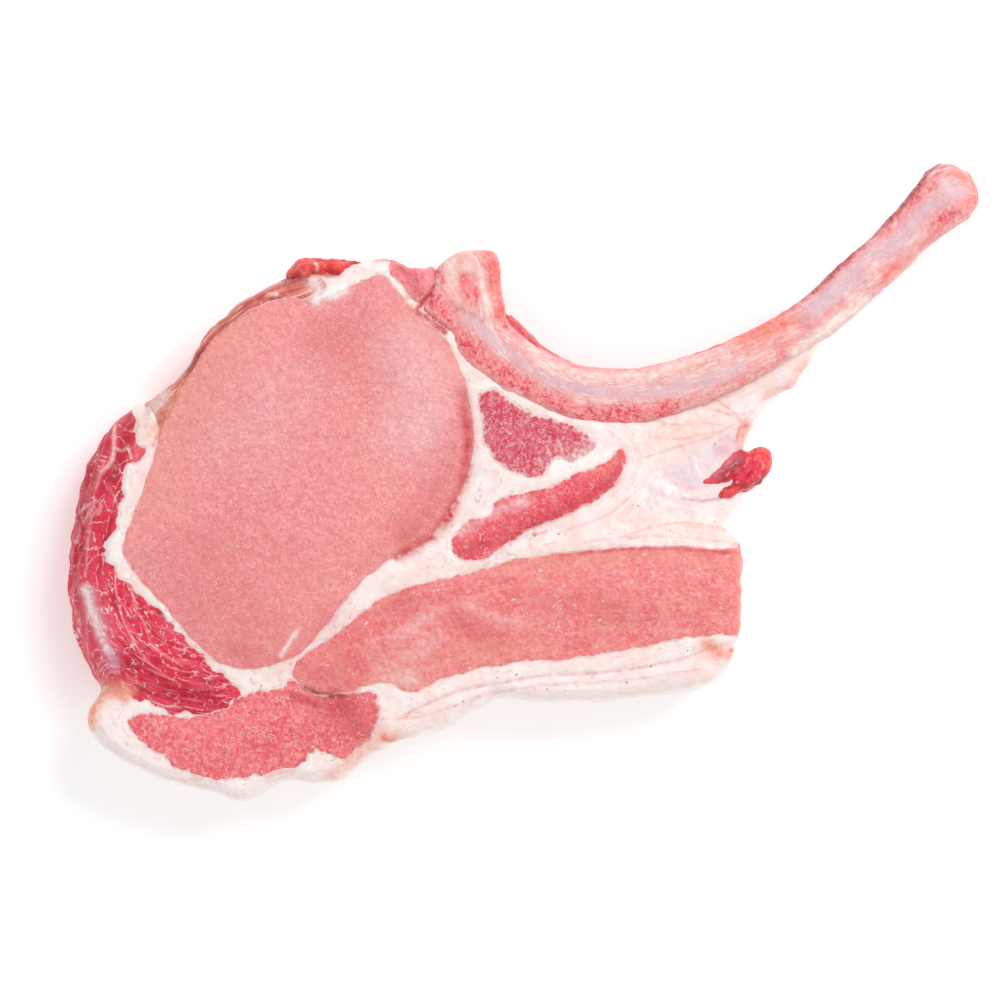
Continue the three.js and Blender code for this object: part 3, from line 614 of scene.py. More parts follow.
# %% Strokes on the small muscles
SMALL_STROKES = [
    # lower muscle: dark right end
    ("blood_and_shade", 4.5, 0.55, [(-46, -53), (-40, -56.5), (-38.5, -60)]),
    ("blood_and_shade", 1.2, 0.6, [(-55, -51.5), (-48, -54), (-42, -53.5)]),
    # rib muscles: red lower edge, orange tip, fine white lines across, a pale veil
    ("blood_and_shade", 1.6, 0.5, [(-14, -17), (-4, -13.5), (8, -8), (18, -2), (22, 1.5)]),
    ("orange", 1.3, 0.45, [(16, 2), (20.5, 3.5), (23.8, 7)]),
    ("pale", 0.22, 0.6, [(4.4, 2.6), (3.7, 5.4)]),
    ("pale", 0.25, 0.8, [(6.4, 4.4), (6, 6.8), (5.3, 8.2)]),
    ("pale", 0.2, 0.5, [(7.9, 5.6), (7.6, 7.6)]),
    ("pale", 0.25, 0.7, [(9.3, 5), (9, 7.2), (8.2, 9.6)]),
    ("pale", 0.3, 0.7, [(12.2, 5.2), (12, 7.4)]),
    ("pale", 0.2, 0.6, [(14.6, 7.4), (13.8, 10.8)]),
    ("pale", 2, 0.5, [(7, 3), (12, 5), (16.5, 8)]),
    ("pale", 1.6, 0.45, [(-15, -12), (-8, -8), (0, -5)]),
]
print(len(SMALL_STROKES), "strokes")

# %% Strokes on the fat
BELOW_BELLY = [
    (-28.6, -56), (-15.4, -50.3), (-6, -48.6), (5, -46.7), (18.2, -46), (31.9, -44),
    (41, -41.6), (50.6, -38.3),
]
FAT_STROKES = [
    # creases below the belly, folds of the flap, orange and red tissue, pearly skin
    ("crease", 0.8, 0.35, BELOW_BELLY),
    ("brown", 0.4, 0.45, BELOW_BELLY),
    ("brown", 0.4, 0.3, [(-13, -52), (3.8, -49), (23, -47.9), (42.2, -45)]),
    ("brown", 0.35, 0.3, [(-34, -57), (-25, -56.4), (-14, -53)]),
    ("orange", 2.2, 1, [(44.2, -39.8), (47, -41.8), (50, -42)]),
    ("brown", 0.4, 1, [(49.4, -40.6), (50.6, -40.9)]),
    ("orange", 2.2, 1.2, [(-104.6, -58), (-103.2, -53.2), (-100.2, -50.4), (-95.5, -50.6)]),
    ("brown", 0.6, 0.9, [(-103.6, -55.6), (-102.2, -52), (-99, -49.6)]),
    ("blood_and_shade", 0.7, 1, [(-33.4, -61.6), (-29.8, -62.8), (-25.9, -63)]),
    ("orange", 1.6, 0.6, [(-34, -61), (-27.9, -62.6)]),
    ("orange", 2.2, 0.5, [(-46, -70.5), (-42, -67), (-36, -63.5)]),
    ("brown", 0.35, 0.5, [(38.5, 20), (44, 17.5), (50, 15.8), (55, 16.5)]),
    ("brown", 0.3, 0.4, [(29.5, 14.8), (37, 13.2), (45, 13.6), (52, 11.6)]),
    ("brown", 0.3, 0.45, [(24, -13.2), (33, -10.6), (42, -10.4), (51, -12.8)]),
    ("brown", 0.3, 0.35, [(14, -14.8), (28, -13.4), (44, -14.2), (52, -15.6)]),
    ("brown", 0.3, 0.35, [(8, -12.6), (20, -8.2), (27.5, -2)]),
    ("orange", 1.6, 0.9, [(53, 13.5), (52.4, 10.5), (52, 7.5)]),
    ("orange", 1.4, 0.6, [(67.5, 27.8), (63.2, 22), (58.4, 19.8)]),
    ("blood_and_shade", 0.35, 1, [(53.2, 13.2), (51.8, 12.6), (51.2, 11), (51, 8.6)]),
    ("ridge", 1.5, 0.6, [(31.2, -1.6), (38.4, -4.4), (45.6, -2.2)]),
    ("crease", 0.8, 0.1, [(31.6, -3), (39, -6), (47, -4.8)]),
    ("lilac", 3, 0.8, [(35.5, 1.6), (39.5, 0.6), (42.5, -0.4)]),
    ("lilac", 3.2, 0.75, [(40.5, 3.6), (44.5, 6.4), (48.5, 8)]),
    ("blood_and_shade", 0.5, 0.3, [(35.6, -0.4), (39.5, -1.6), (43.6, -1.2)]),
    ("pale", 0.3, 1.2, [(41, 5.4), (41.4, 3.2), (42.6, 1.2)]),
    ("brown", 0.3, 0.4, [(39.4, 5.8), (39.8, 4), (40.4, 1.8)]),
    ("blood_and_shade", 0.4, 0.5, [(38, -4.2), (42.2, -4.9), (46.8, -4.3)]),
    ("orange", 2.6, 0.3, [(28, -11.6), (38, -11.4), (50, -13.4)]),
    ("orange", 3, 0.25, [(38, 10.5), (44, 11.5), (50, 12)]),
    ("orange", 2.2, 0.2, [(28, 9.5), (34, 10.5), (40, 12)]),
    ("blood_and_shade", 1.8, 0.4, [(47, 7), (49.4, 8.6)]),
    ("brown", 0.3, 0.6, [(46.6, 9.6), (48.8, 10.6)]),
    ("brown", 0.3, 0.5, [(28, 5.2), (36, 7.8), (44, 10.2), (50, 13.2)]),
    ("brown", 0.35, 0.45, [(46.5, 19), (51, 15.6), (53.6, 11)]),
    ("brown", 0.3, 0.4, [(30, 10.4), (38, 10), (46, 11.4), (51, 9.2)]),
    ("blood_and_shade", 0.35, 0.7, [(2, -13), (5.4, -12.2)]),
]
print(len(FAT_STROKES), "strokes")

# %% Strokes as numbers
# a stroke's place in this list seeds its noise
STROKES = LOIN_STROKES + SIDE_STROKES + CAP_STROKES + BELLY_STROKES + SMALL_STROKES + FAT_STROKES
TINTS = ("pale", "blood_and_shade", "brown", "orange", "lilac")  # the kinds that become colour
TAIL = 3  # half widths from its line, where a stroke ends
RAGGEDNESS = 0.45  # how much noise varies its strength
MOST = 1.2  # the strongest that strokes may add up to


def stroke(places, kind, strokes):
    """Strength of all the strokes of a kind at each place."""
    strength = np.zeros(len(places))
    for number, (made, width, power, line) in enumerate(strokes):
        if made == kind:
            line = smooth_curve(line, 0.8, closed=False)
            away = nearest_on(places, line, closed=False, reach=TAIL * width)[0]
            near = np.nonzero(away < TAIL * width)[0]
            uneven = 1 + RAGGEDNESS * rumple(places[near], 1.6 * width + 1, number, 2)
            painted = power * np.exp(-(away[near] / width) ** 2) * uneven
            strength[near] = np.maximum(strength[near], painted)
    return strength


def tints(places, strokes):
    """The strength of the colour strokes at each place, for each kind."""
    return {kind: np.clip(stroke(places, kind, strokes), 0, MOST) for kind in TINTS}


height += stroke(face, "ridge", STROKES) - stroke(face, "crease", STROKES)
print(len(STROKES), "strokes in all")

# %% [markdown]
# ## Fibres, lumps and seams in relief
#
# Under a raking light a muscle's face is grainy with cut fibres, and fat is smooth and lumpy. The
# seams lie a little lower than what they part. This fine relief goes into the mesh itself, so it
# also shows from the side.

# %% Fine relief on the face
GRAIN = (0.10, 1.3, 3, 1), (0.12, 3.1, 4, 1)  # height and size in mm, seed, octaves
LUMPS = (0.22, 5.0, 5, 2), (0.06, 1.6, 6, 1)
SEAM_SINK, SEAM_WIDTH = 0.14, 0.6  # mm
SMOOTH_EDGE = 2  # mm, from the rim to full relief
own_label = np.zeros(len(face), int)
own_label[triangles.ravel()] = np.repeat(labels, 3)
in_fat = own_label >= len(rings)
seam = np.min([np.abs(depth) for depth in depths.values()], axis=0)
height -= SEAM_SINK * np.exp(-(seam / SEAM_WIDTH) ** 2)
uneven = np.where(in_fat, rumples(face, *LUMPS), rumples(face, *GRAIN))
height += uneven * smoothstep(face_depth, 0, SMOOTH_EDGE)
print(f"relief of {uneven.min():.2f} to {uneven.max():.2f} mm")

# %% [markdown]
# ## From the face to closed pieces
#
# The rim is the face's border drawn down in rows to the underside. Every piece takes its own
# triangles, the same ones turned over for the underside, its stretch of rim, and plain inner walls
# where it meets a neighbour. So each one is closed, as a piece of meat lifted out would be.

# %% The loop of the rim
def border_of(faces):
    """Directed edges that only one of the triangles has."""
    pairs = np.vstack([faces[:, [0, 1]], faces[:, [1, 2]], faces[:, [2, 0]]])
    size = len(plan)
    key = pairs[:, 0] * size + pairs[:, 1]
    return pairs[~np.isin(key, pairs[:, 1] * size + pairs[:, 0])]


border = dict(border_of(triangles).tolist())
loop = [next(iter(border))]
while border[loop[-1]] != loop[0]:
    loop.append(border[loop[-1]])
loop = np.array(loop)
print("rim loop:", len(loop), "of", len(border))

# %% The rows of the rim
ROW_STEP = 0.55  # mm
BULGES = (0.45, 9, 11, 1), (0.22, 3.2, 12, 1), (0.08, 1.4, 13, 1)  # as in GRAIN
# bundles on the cap's side: mm high and wide, times as long as wide, mm down for each mm along
BUNDLE_HEIGHT, BUNDLE_SIZE, BUNDLE_LENGTH, BUNDLE_SLANT = 0.75, 2.2, 6, 0.15
rows = smooth_curve(RIM_ROWS, ROW_STEP, closed=False)
start = plan[loop]
pull = inward_pull(start)
rim_lean = lean_share(start)
top = height[loop]
rim_run = np.concatenate([[0], np.cumsum(np.linalg.norm(np.diff(start, axis=0), axis=1))])
rim = []
for number, row in enumerate(rows[1:-1]):
    place = start + pull * stand_back(start, row)[:, None]
    z = row[0] * top / SLAB
    along_rim = np.column_stack([rim_run / BUNDLE_LENGTH, z + BUNDLE_SLANT * rim_run])
    bulge = rumples(np.column_stack([place, z]), *BULGES)
    bulge += BUNDLE_HEIGHT * rim_lean * rumple(along_rim, BUNDLE_SIZE, 14, 2)
    window = np.sin(np.pi * (number + 1) / (len(rows) - 1)) ** 0.5  # no bulge at both faces
    place = place - pull * (bulge * window)[:, None]
    rim.append(np.column_stack([place, z]))
count = len(plan)
base = moved_in(plan, chop_depth, RIM_ROWS[0])
upside = np.column_stack([face, height])
underside = np.column_stack([base, np.zeros(count)])
everything = np.vstack([upside, underside] + rim)
print("rim rows:", len(rows), " places in all:", len(everything))

# %% [markdown]
# ## Numbers on the mesh
#
# A material can read any number that is stored at the places of a mesh. The strokes are stored
# there. A stain stays where the blade and the air were, so they fade out a few millimetres down the
# side. Other numbers tell how far down the side a place is and how far it is from the seams.

# %% Numbers on the mesh
FADE_FROM, FADE_LEAN, FADE_NOISE, FADE_WIDTH = 4, 11, 2.5, 6  # mm below the face
UNDERSIDE_FADE = 4  # mm from the rim
SIDE_FROM, SIDE_FULL = 0.3, 2.5  # mm below the face
SOFTNESS = 0.4  # how softly the distances to the muscles are joined, for each mm
flat = everything[:, :2]
on_rim = np.arange(len(everything)) >= 2 * count
below = np.zeros(len(everything))
below[count:2 * count] = SLAB
below[on_rim] = np.tile(top, len(rim)) - everything[on_rim, 2]
fade_from = FADE_FROM + FADE_LEAN * lean_share(flat) + FADE_NOISE * rumple(everything, 4, 15)
fade = 1 - smoothstep(below, fade_from, fade_from + FADE_WIDTH) * on_rim
fade[count:2 * count] = smoothstep(chop_depth, 0, UNDERSIDE_FADE)
marks = {kind: fade * tint for kind, tint in tints(flat, STROKES).items()}
marks["side"] = smoothstep(below, SIDE_FROM, SIDE_FULL)
all_depths = {name: depth_inside(flat, ring[::2], SEAM_REACH) for name, ring in rings.items()}
# down the side the pale fringes of the seams end, as if the place lay deeper
down_side = 0.3 * np.maximum(below - 1.5, 0) * on_rim
fat_depth = np.maximum(np.min([-depth for depth in all_depths.values()], axis=0), 0) + down_side
soft_depth = -np.log(sum(np.exp(SOFTNESS * depth) for depth in all_depths.values())) / SOFTNESS
print("numbers:", list(marks))

# %% [markdown]
# ## The run of the fibres
#
# In the cap and the belly the fibres run along the muscle. A guide line through each one gives two
# numbers at every place: how far along the line it is and how far beside it. A pattern that is
# drawn long in the first and short in the second then follows the muscle round its bends.

# %% Guide lines
GRAIN_LINES = {
    "cap_muscle": [(-94, 20), (-99, 8), (-104, -8), (-106, -24), (-102, -37), (-92, -47),
                   (-80, -51), (-66, -52)],
    "belly_muscle": [(-62, -52), (-45, -44), (-24, -37), (4, -31), (30, -27), (60, -27)],
    "lower_muscle": [(-98, -60), (-80, -63), (-60, -60), (-45, -57), (-30, -55)],
    "side_strip": [(-98, 12), (-88, 20), (-78, 31), (-66, 42), (-50, 49)],
    "rib_bed_muscle": [(-10, 45), (0, 35), (14, 27), (30, 25), (50, 32), (66, 40)],
    "loin_eye": [(-92, -30), (-60, -5), (-30, 20), (-15, 50)],
    "rib_muscle_upper": [(-12, 20), (18, 6)],
    "rib_muscle_lower": [(-20, -20), (0, -9), (26, 8)],
    "spine_muscle": [(-30, 55), (-23, 42)],
}
GUIDE_REACH = 60  # mm


def along_and_beside(name):
    """Along the guide line, beside it and deep in the muscle, in mm for each place."""
    guide = smooth_curve(GRAIN_LINES[name], 1.0, closed=False)
    away, share, side = nearest_on(flat, guide, closed=False, reach=GUIDE_REACH)
    depth = all_depths[name] + down_side
    return np.column_stack([share * len(guide), away * side + below, depth])


print(len(GRAIN_LINES), "guide lines")

# %% Make the pieces
SHARP_FROM = 62  # degrees between two faces
rim_at = {vertex: number for number, vertex in enumerate(loop.tolist())}


def column(vertex):
    """The places of one upright line of the piece, from the underside to the face."""
    middle = []
    if vertex in rim_at:
        middle = [2 * count + row * len(loop) + rim_at[vertex] for row in range(len(rim))]
    return [vertex + count] + middle + [vertex]


def mesh_of(name, faces, places, numbers):
    """A new object from the faces that use the places, in metres, with its numbers."""
    used = sorted({vertex for face in faces for vertex in face})
    renumber = {vertex: i for i, vertex in enumerate(used)}
    made = places[used].copy()
    made[:, :2] -= ORIGIN_IN_OUTLINES
    mesh = bpy.data.meshes.new(name)
    mesh.from_pydata((made / 1000).tolist(), [], [[renumber[v] for v in face] for face in faces])
    for key, values in numbers.items():
        kind = "FLOAT_VECTOR" if values.ndim == 2 else "FLOAT"
        layer = mesh.attributes.new(key, kind, "POINT")
        layer.data.foreach_set("vector" if values.ndim == 2 else "value", values[used].ravel())
    mesh.shade_smooth()
    mesh.set_sharp_from_angle(angle=np.radians(SHARP_FROM))
    thing = bpy.data.objects.new(name, mesh)
    bpy.context.collection.objects.link(thing)
    return thing


def meat_piece(name):
    """One muscle, or one of the two fats, as a closed piece."""
    own = triangles[labels == names.index(name)]
    faces = own.tolist() + (own[:, ::-1] + count).tolist()
    for a, b in border_of(own).tolist():
        left, right = column(a), column(b)
        if border.get(a) == b:
            faces += [[left[i], right[i], right[i + 1], left[i + 1]] for i in range(len(left) - 1)]
        else:
            faces.append(right + left[::-1])
    if name in rings:
        flow = along_and_beside(name)
    else:
        flow = np.column_stack([flat[:, 0], soft_depth + below, fat_depth])
    return mesh_of(name + "_piece", faces, everything, {**marks, "flow": flow})


pieces = {}
for name in names:
    pieces[name] = meat_piece(name)
    print(f"  {name}: {len(pieces[name].data.polygons)} faces")

# %% [markdown]
# ## The bone
#
# The rib is a rod, a little squared in section, bent along its centre line. It grows out of a
# block of backbone. A sculptor would press the two together in clay. Here they are joined, remade
# as one skin of small even faces with a voxel remesh, and smoothed, which rounds the joint over.

# %% Tools: loft and remesh
def loft(name, sections):
    """A closed skin over sections that have the same number of places."""
    around = len(sections[0])
    last = (len(sections) - 1) * around
    faces = [list(range(around))[::-1], list(range(last, last + around))]
    for row in range(len(sections) - 1):
        for i in range(around):
            j = (i + 1) % around
            a, b = row * around, (row + 1) * around
            faces.append([a + i, a + j, b + j, b + i])
    mesh = bpy.data.meshes.new(name)
    mesh.from_pydata((np.vstack(sections) / 1000).tolist(), [], faces)
    return mesh


def remade(name, meshes, voxel, rounds):
    """The meshes as one skin of even faces about voxel mm wide, smoothed a few rounds."""
    vertices, faces = [], []
    for mesh in meshes:
        first = len(vertices)
        vertices += [vertex.co[:] for vertex in mesh.vertices]
        faces += [[first + v for v in polygon.vertices] for polygon in mesh.polygons]
    joined = bpy.data.meshes.new(name)
    joined.from_pydata(vertices, [], faces)
    thing = bpy.data.objects.new(name, joined)
    bpy.context.collection.objects.link(thing)
    remesh = thing.modifiers.new("even faces", "REMESH")
    remesh.mode, remesh.voxel_size = "VOXEL", voxel / 1000
    smooth = thing.modifiers.new("rounding", "SMOOTH")
    smooth.factor, smooth.iterations = 0.5, rounds
    graph = bpy.context.evaluated_depsgraph_get()
    done = bpy.data.meshes.new_from_object(thing.evaluated_get(graph))
    bpy.data.objects.remove(thing)
    return done


def places_and_normals(mesh):
    """Places in mm in the outlines' frame, and the unit normals there."""
    spots = np.empty(len(mesh.vertices) * 3)
    mesh.vertices.foreach_get("co", spots)
    normals = np.empty(len(mesh.vertices) * 3)
    mesh.vertices.foreach_get("normal", normals)
    return spots.reshape(-1, 3) * 1000, normals.reshape(-1, 3)


def superellipse(turn, boxiness):
    """How far out a rounded box is at each turn; 2 gives a circle and more a squarer section."""
    return (np.abs(np.cos(turn)) ** boxiness + np.abs(np.sin(turn)) ** boxiness) ** (-1 / boxiness)


print("tools:", [tool.__name__ for tool in (loft, remade, superellipse)])

# %% Rod and block, remade as one skin
BONE_VOXEL = 0.5  # mm
RIB_HEIGHT_RATIO, RIB_BOXINESS, RIB_CORNERS = 0.84, 3.3, 28
LEAST_HALF_WIDTH = 0.8  # mm
AXIS_HEIGHT, AXIS_DROP = 22, 5  # mm; the bare half hangs a little
BLOCK_ROWS = (3, 1.4), (4.2, 0.3), (6, 0), (24.2, 0), (25.9, 0.4), (26.8, 1.6)  # height, stand-back
share = np.linspace(0, 1, len(rib_line))
half = np.maximum(np.interp(share, *RIB_HALF_WIDTHS.T), LEAST_HALF_WIDTH)
belly = np.interp(share, *RIB_BELLY.T)
axis_height = AXIS_HEIGHT - AXIS_DROP * smoothstep(share, 0.5, 1)
ahead = np.gradient(rib_line, axis=0)
ahead /= np.linalg.norm(ahead, axis=1)[:, None]
turn = np.linspace(0, 2 * np.pi, RIB_CORNERS, endpoint=False)
out = superellipse(turn, RIB_BOXINESS)
sections = []
for place, way, width, fuller, z in zip(rib_line, ahead, half, belly, axis_height):
    outwards = np.cos(turn) * (width + np.where(np.cos(turn) > 0, fuller, 0))
    across = (out * outwards)[:, None] * np.array([way[1], -way[0]])
    up = z + out * np.sin(turn) * width * RIB_HEIGHT_RATIO
    sections.append(np.column_stack([place + across, up]))
rod = loft("rod", sections)

sections = []
for z, back in BLOCK_ROWS:
    ring = backbone_ring - normals_of(backbone_ring) * back
    sections.append(np.column_stack([ring, np.full(len(ring), z)]))
block = loft("block", sections)
bone_mesh = remade("bone", [rod, block], BONE_VOXEL, 5)
bone_at, bone_out = places_and_normals(bone_mesh)
print("bone skin:", len(bone_mesh.polygons), "faces")

# %% [markdown]
# ## Colour strokes and pits on the bone
#
# A bare rib is pinkish cream with a lilac sheen where the bone is thin. Where the saw opened it, a
# red band of marrow runs along its lower edge, and the backbone has red pores and dark pits. These
# are strokes again. The skin also gets low bumps, and small pits in the sawn parts.

# %% Strokes on the rib
RIB_STROKES = [
    # lilac where the bone is thin, with painted sheen along the middle of its rounded top
    ("lilac", 1.3, 1, [(-13, 38.6), (-7.9, 33.9), (-2.9, 29.9), (2.4, 25.8), (9.1, 22.8),
                         (18.2, 21)]),
    ("lilac", 1.9, 0.8, [(18.2, 21), (27.8, 20.6), (40, 22.6), (52, 27)]),
    ("lilac", 3.2, 0.95, [(67.7, 39.2), (74.4, 45.4), (81.8, 51.6), (90, 58.8), (98.4, 65.4),
                         (103.5, 68.6)]),
    # red marrow along the lower edge
    ("blood_and_shade", 2.6, 1.15, [(-16.4, 35.6), (-13.2, 31.4), (-9.6, 27.8), (-4, 24.6), (1.7, 21.4),
                          (7.7, 18.6), (13, 16.4), (18.2, 15.6), (27.8, 15.8), (36, 17)]),
    ("blood_and_shade", 1.4, 0.6, [(-17, 39), (-13.2, 35), (-9, 31)]),
    ("blood_and_shade", 2.2, 0.5, [(36, 17), (45, 20), (54, 24.5), (62, 30)]),
    ("blood_and_shade", 1, 0.5, [(54, 27.5), (62, 32.4), (70, 38), (76, 42.6)]),
    ("pale", 1.2, 0.8, [(64.5, 30.4), (70, 34.6), (76.4, 39.2), (82.4, 43.6)]),
    ("blood_and_shade", 1, 0.5, [(86, 47.6), (91, 52.6), (97, 58.6)]),
]
print(len(RIB_STROKES), "strokes")

# %% Strokes on the backbone and along the upper edge
BACKBONE_STROKES = [
    # granular patches and a red right side
    ("blood_and_shade", 2.4, 1.1, [(-13.9, 47.6), (-12, 44.2)]),
    ("blood_and_shade", 3, 1, [(-21, 43.4), (-18, 38.6)]),
    ("blood_and_shade", 1.9, 1.1, [(-8.2, 53.6), (-6.8, 48.4), (-6.2, 43.2), (-4.6, 38.5), (0, 34.6)]),
    ("blood_and_shade", 1.1, 1, [(-21, 51.4), (-19.8, 47.8)]),
    ("blood_and_shade", 0.6, 0.9, [(-20.5, 53.2), (-15, 55.6), (-9, 55.8)]),
    # a brown line across the joint of rib and backbone: painted shade
    ("brown", 0.5, 0.4, [(-17.3, 42.4), (-13.6, 40.2), (-9.6, 38.2)]),
    ("pale", 0.9, 0.5, [(-17.5, 51.5), (-16.6, 47.5)]),
    ("pale", 2, 0.45, [(-17, 51.8), (-12.6, 51.4)]),
    ("pale", 0.7, 0.8, [(-10.4, 50), (-9.8, 45.5), (-8.6, 41)]),
    ("pale", 0.8, 0.35, [(-3, 36.2), (4, 29.4), (12, 26), (24, 24.8), (38, 27.5)]),
    ("orange", 2.4, 0.2, [(-14.5, 53), (-15, 48), (-16, 42)]),
    ("orange", 1.6, 0.8, [(-8.4, 54), (-7, 48.4), (-6, 43.2), (-4.6, 39.5)]),
    # red down the bone's left edge, in the crevice beside the eye: painted shade
    ("blood_and_shade", 1, 1, [(-22.5, 45.8), (-24.6, 41.4), (-20, 37)]),
]
UPPER_EDGE_STROKES = [
    # thin red line along the upper edge
    ("blood_and_shade", 0.55, 0.7, [(-4.3, 38.3), (1.7, 33.2), (7.7, 29.4), (15.1, 27.2), (27.8, 27),
                          (38, 29.8), (47, 33.6)]),
    ("blood_and_shade", 1, 1.1, [(47, 32.8), (55.8, 36.6), (62.4, 40.6), (70.8, 46.8), (76.7, 52.2),
                         (82.4, 57.6), (90.6, 65.2), (95.6, 70.4)]),
    ("brown", 0.9, 1.1, [(61.9, 40.8), (66.4, 43.8), (70.8, 47.2), (76.6, 52.6), (82.3, 58),
                         (89.5, 64.8), (94.8, 71)]),
]
print(len(BACKBONE_STROKES) + len(UPPER_EDGE_STROKES), "strokes")

# %% Strokes on the knob
KNOB_STROKES = [
    # orange and red blotches
    ("orange", 2.6, 0.85, [(53, 33.6), (60.2, 36.4), (66.2, 38.6)]),
    ("orange", 1.5, 0.8, [(86.4, 49.4), (89, 51.4)]),
    ("blood_and_shade", 2, 0.75, [(86, 59.6), (91.8, 65.6), (96.2, 70.3), (99.4, 73.9)]),
    ("blood_and_shade", 2.2, 0.85, [(97, 60.8), (102.2, 63.7), (106.2, 66.4)]),
    ("blood_and_shade", 1, 0.6, [(100.4, 60.8), (104.6, 62.7), (107.4, 65.2)]),
    ("orange", 1.6, 1.1, [(107.6, 73.8), (109.2, 68)]),
    ("blood_and_shade", 0.9, 1.1, [(95.4, 72.4), (98.4, 75.6), (101.8, 77.2), (104.6, 76.4)]),
    ("brown", 0.5, 0.9, [(95.6, 71.6), (97.6, 74.4), (100.6, 76.6)]),
    ("brown", 0.4, 0.8, [(98.6, 73.6), (101.6, 75.6), (104, 75.4)]),
    ("pale", 0.22, 0.8, [(96.9, 72.7), (99.2, 74.2), (101.6, 74.8)]),
    ("orange", 1.6, 0.7, [(103.4, 74.2), (106.4, 72.2)]),
]
print(len(KNOB_STROKES), "strokes")

# %% Finish the bone's skin
# a stroke's place in this list seeds its noise
BONE_STROKES = RIB_STROKES + BACKBONE_STROKES + UPPER_EDGE_STROKES + KNOB_STROKES
RIB_LENGTH = 155  # mm
BUMPS = (0.25, 6, 22, 2), (0.07, 1.6, 23, 1)  # as in GRAIN
PORE_SIZE, PORE_DEPTH = 1.1, 0.18  # mm
bone_plan = bone_at[:, :2]
bone_below = SLAB - bone_at[:, 2]
bone_away, bone_share, bone_side = nearest_on(
    bone_plan, rib_line, closed=False, reach=GUIDE_REACH
)
bone_marks = tints(bone_plan, BONE_STROKES)
bone_marks["side"] = smoothstep(bone_below, 3, 12)
bone_marks["flow"] = np.column_stack([
    bone_share * RIB_LENGTH, bone_away * bone_side + bone_below, bone_away,
])
pores = np.maximum(rumple(bone_at, PORE_SIZE, 21), 0) * bone_marks["blood_and_shade"]
bump = rumples(bone_at, *BUMPS) - PORE_DEPTH * pores
bone_at += bone_out * bump[:, None]


def skin_piece(name, mesh, places, numbers):
    """A remade skin as an object, its places given in the outlines' frame."""
    faces = [list(polygon.vertices) for polygon in mesh.polygons]
    return mesh_of(name, faces, places, numbers)


pieces["rib_bone"] = skin_piece("rib_bone_piece", bone_mesh, bone_at, bone_marks)
print("bone marks:", list(bone_marks))

# %% [markdown]
# ## Loose ends of red meat
#
# At two places a scrap of darker meat was pulled free and hangs on by a thread of tissue: a lobed
# nub at the flap's edge and a flat scrap on top of the loin. Lobes are balls pressed together, so
# each scrap is a few stretched balls remade as one skin and made uneven with noise.

# %% Lobes and strokes of the loose ends
NUB_LOBES = [  # centre and half sizes in mm, turn in degrees
    ((55.8, 4, 19.4), (3.7, 4.4, 4.4), -30), ((51.4, 3.8, 20.4), (4.4, 3.4, 4), 30),
    ((47.8, 1.2, 21.2), (4.4, 2, 3), 24), ((44.7, -0.2, 22), (2.4, 1.1, 1.8), 10),
    ((48.6, 3.4, 21), (3.6, 1.9, 3), 38),
    ((53.4, 0.2, 20), (5, 2.6, 4.2), 30), ((49.4, -2.6, 21.2), (4, 1.7, 3.2), 24),
]
SCRAP_LOBES = [
    ((-55.2, 49.4, 21.2), (1.8, 1.8, 5), 40), ((-52.6, 50.3, 21.8), (3.4, 2.9, 5), 20),
    ((-49.2, 50.8, 22.4), (2.8, 2.5, 4.4), -6), ((-45.4, 50.8, 22.8), (3.1, 2.5, 4.4), -10),
    ((-41, 51.9, 21.8), (3.6, 0.8, 3), -4), ((-51, 50.9, 22), (2.8, 2.3, 4.4), 8),
    ((-47.4, 51, 22.4), (2.8, 2.1, 4), -8), ((-43.4, 51.4, 22), (2.6, 1.5, 3.6), -6),
]
LOOSE_STROKES = [
    # nub: dark root, orange outer side, white flecks along its middle as painted highlights
    ("blood_and_shade", 1.6, 0.9, [(47.6, 1.2), (51.2, 4.4), (52.6, 6.8)]),
    ("blood_and_shade", 0.9, 1, [(52.6, -1.6), (55, -0.8), (57.6, 0.4)]),
    ("blood_and_shade", 0.6, 0.8, [(48.6, -2), (52, -0.4), (54.6, 2)]),
    ("orange", 1.8, 0.9, [(54.6, 7.8), (57.4, 6.4), (58.6, 3.6)]),
    ("orange", 1, 0.5, [(47.4, -4), (50.6, -3.2)]),
    ("pale", 0.1, 0.5, [(47.2, 2.4), (48.4, 2.6)]),
    ("pale", 0.1, 0.45, [(48.4, 1.2), (49.2, 2)]),
    ("pale", 0.12, 0.55, [(49.6, 3.4), (50.7, 4.3)]),
    ("pale", 0.1, 0.45, [(50.8, 1.8), (51.4, 2.9)]),
    ("pale", 0.1, 0.45, [(50.2, 2.8), (51, 3)]),
    ("pale", 0.1, 0.45, [(52.8, 3.2), (53.4, 4.6)]),
    ("pale", 0.16, 0.5, [(56.4, 4.8), (57.4, 3.8), (57.2, 2.6)]),
    ("lilac", 2, 0.3, [(45.6, 1.6), (48.4, 4), (50.6, 6.2)]),
    # scrap: dark lobe, orange-red lobe, a shred of fat between them
    ("blood_and_shade", 2, 0.4, [(-55, 49.8), (-51.6, 50.4)]),
    ("blood_and_shade", 0.8, 1.1, [(-46.2, 50), (-44.4, 49.6)]),
    ("orange", 1.8, 0.8, [(-46.4, 51.6), (-43.8, 51.6)]),
    ("blood_and_shade", 0.5, 0.8, [(-50.6, 52.8), (-46.6, 53.2), (-42, 52.6), (-38.6, 52.2)]),
    ("pale", 0.35, 0.9, [(-49.9, 51.9), (-49.3, 51.2), (-49.5, 50.4)]),
]
print("lobes:", len(NUB_LOBES), len(SCRAP_LOBES), " strokes:", len(LOOSE_STROKES))

# %% Lobes pressed together
LOBE_VOXEL = 0.32  # mm
BALL_TILTS, BALL_CORNERS = np.radians(np.arange(-84, 85, 12)), 16


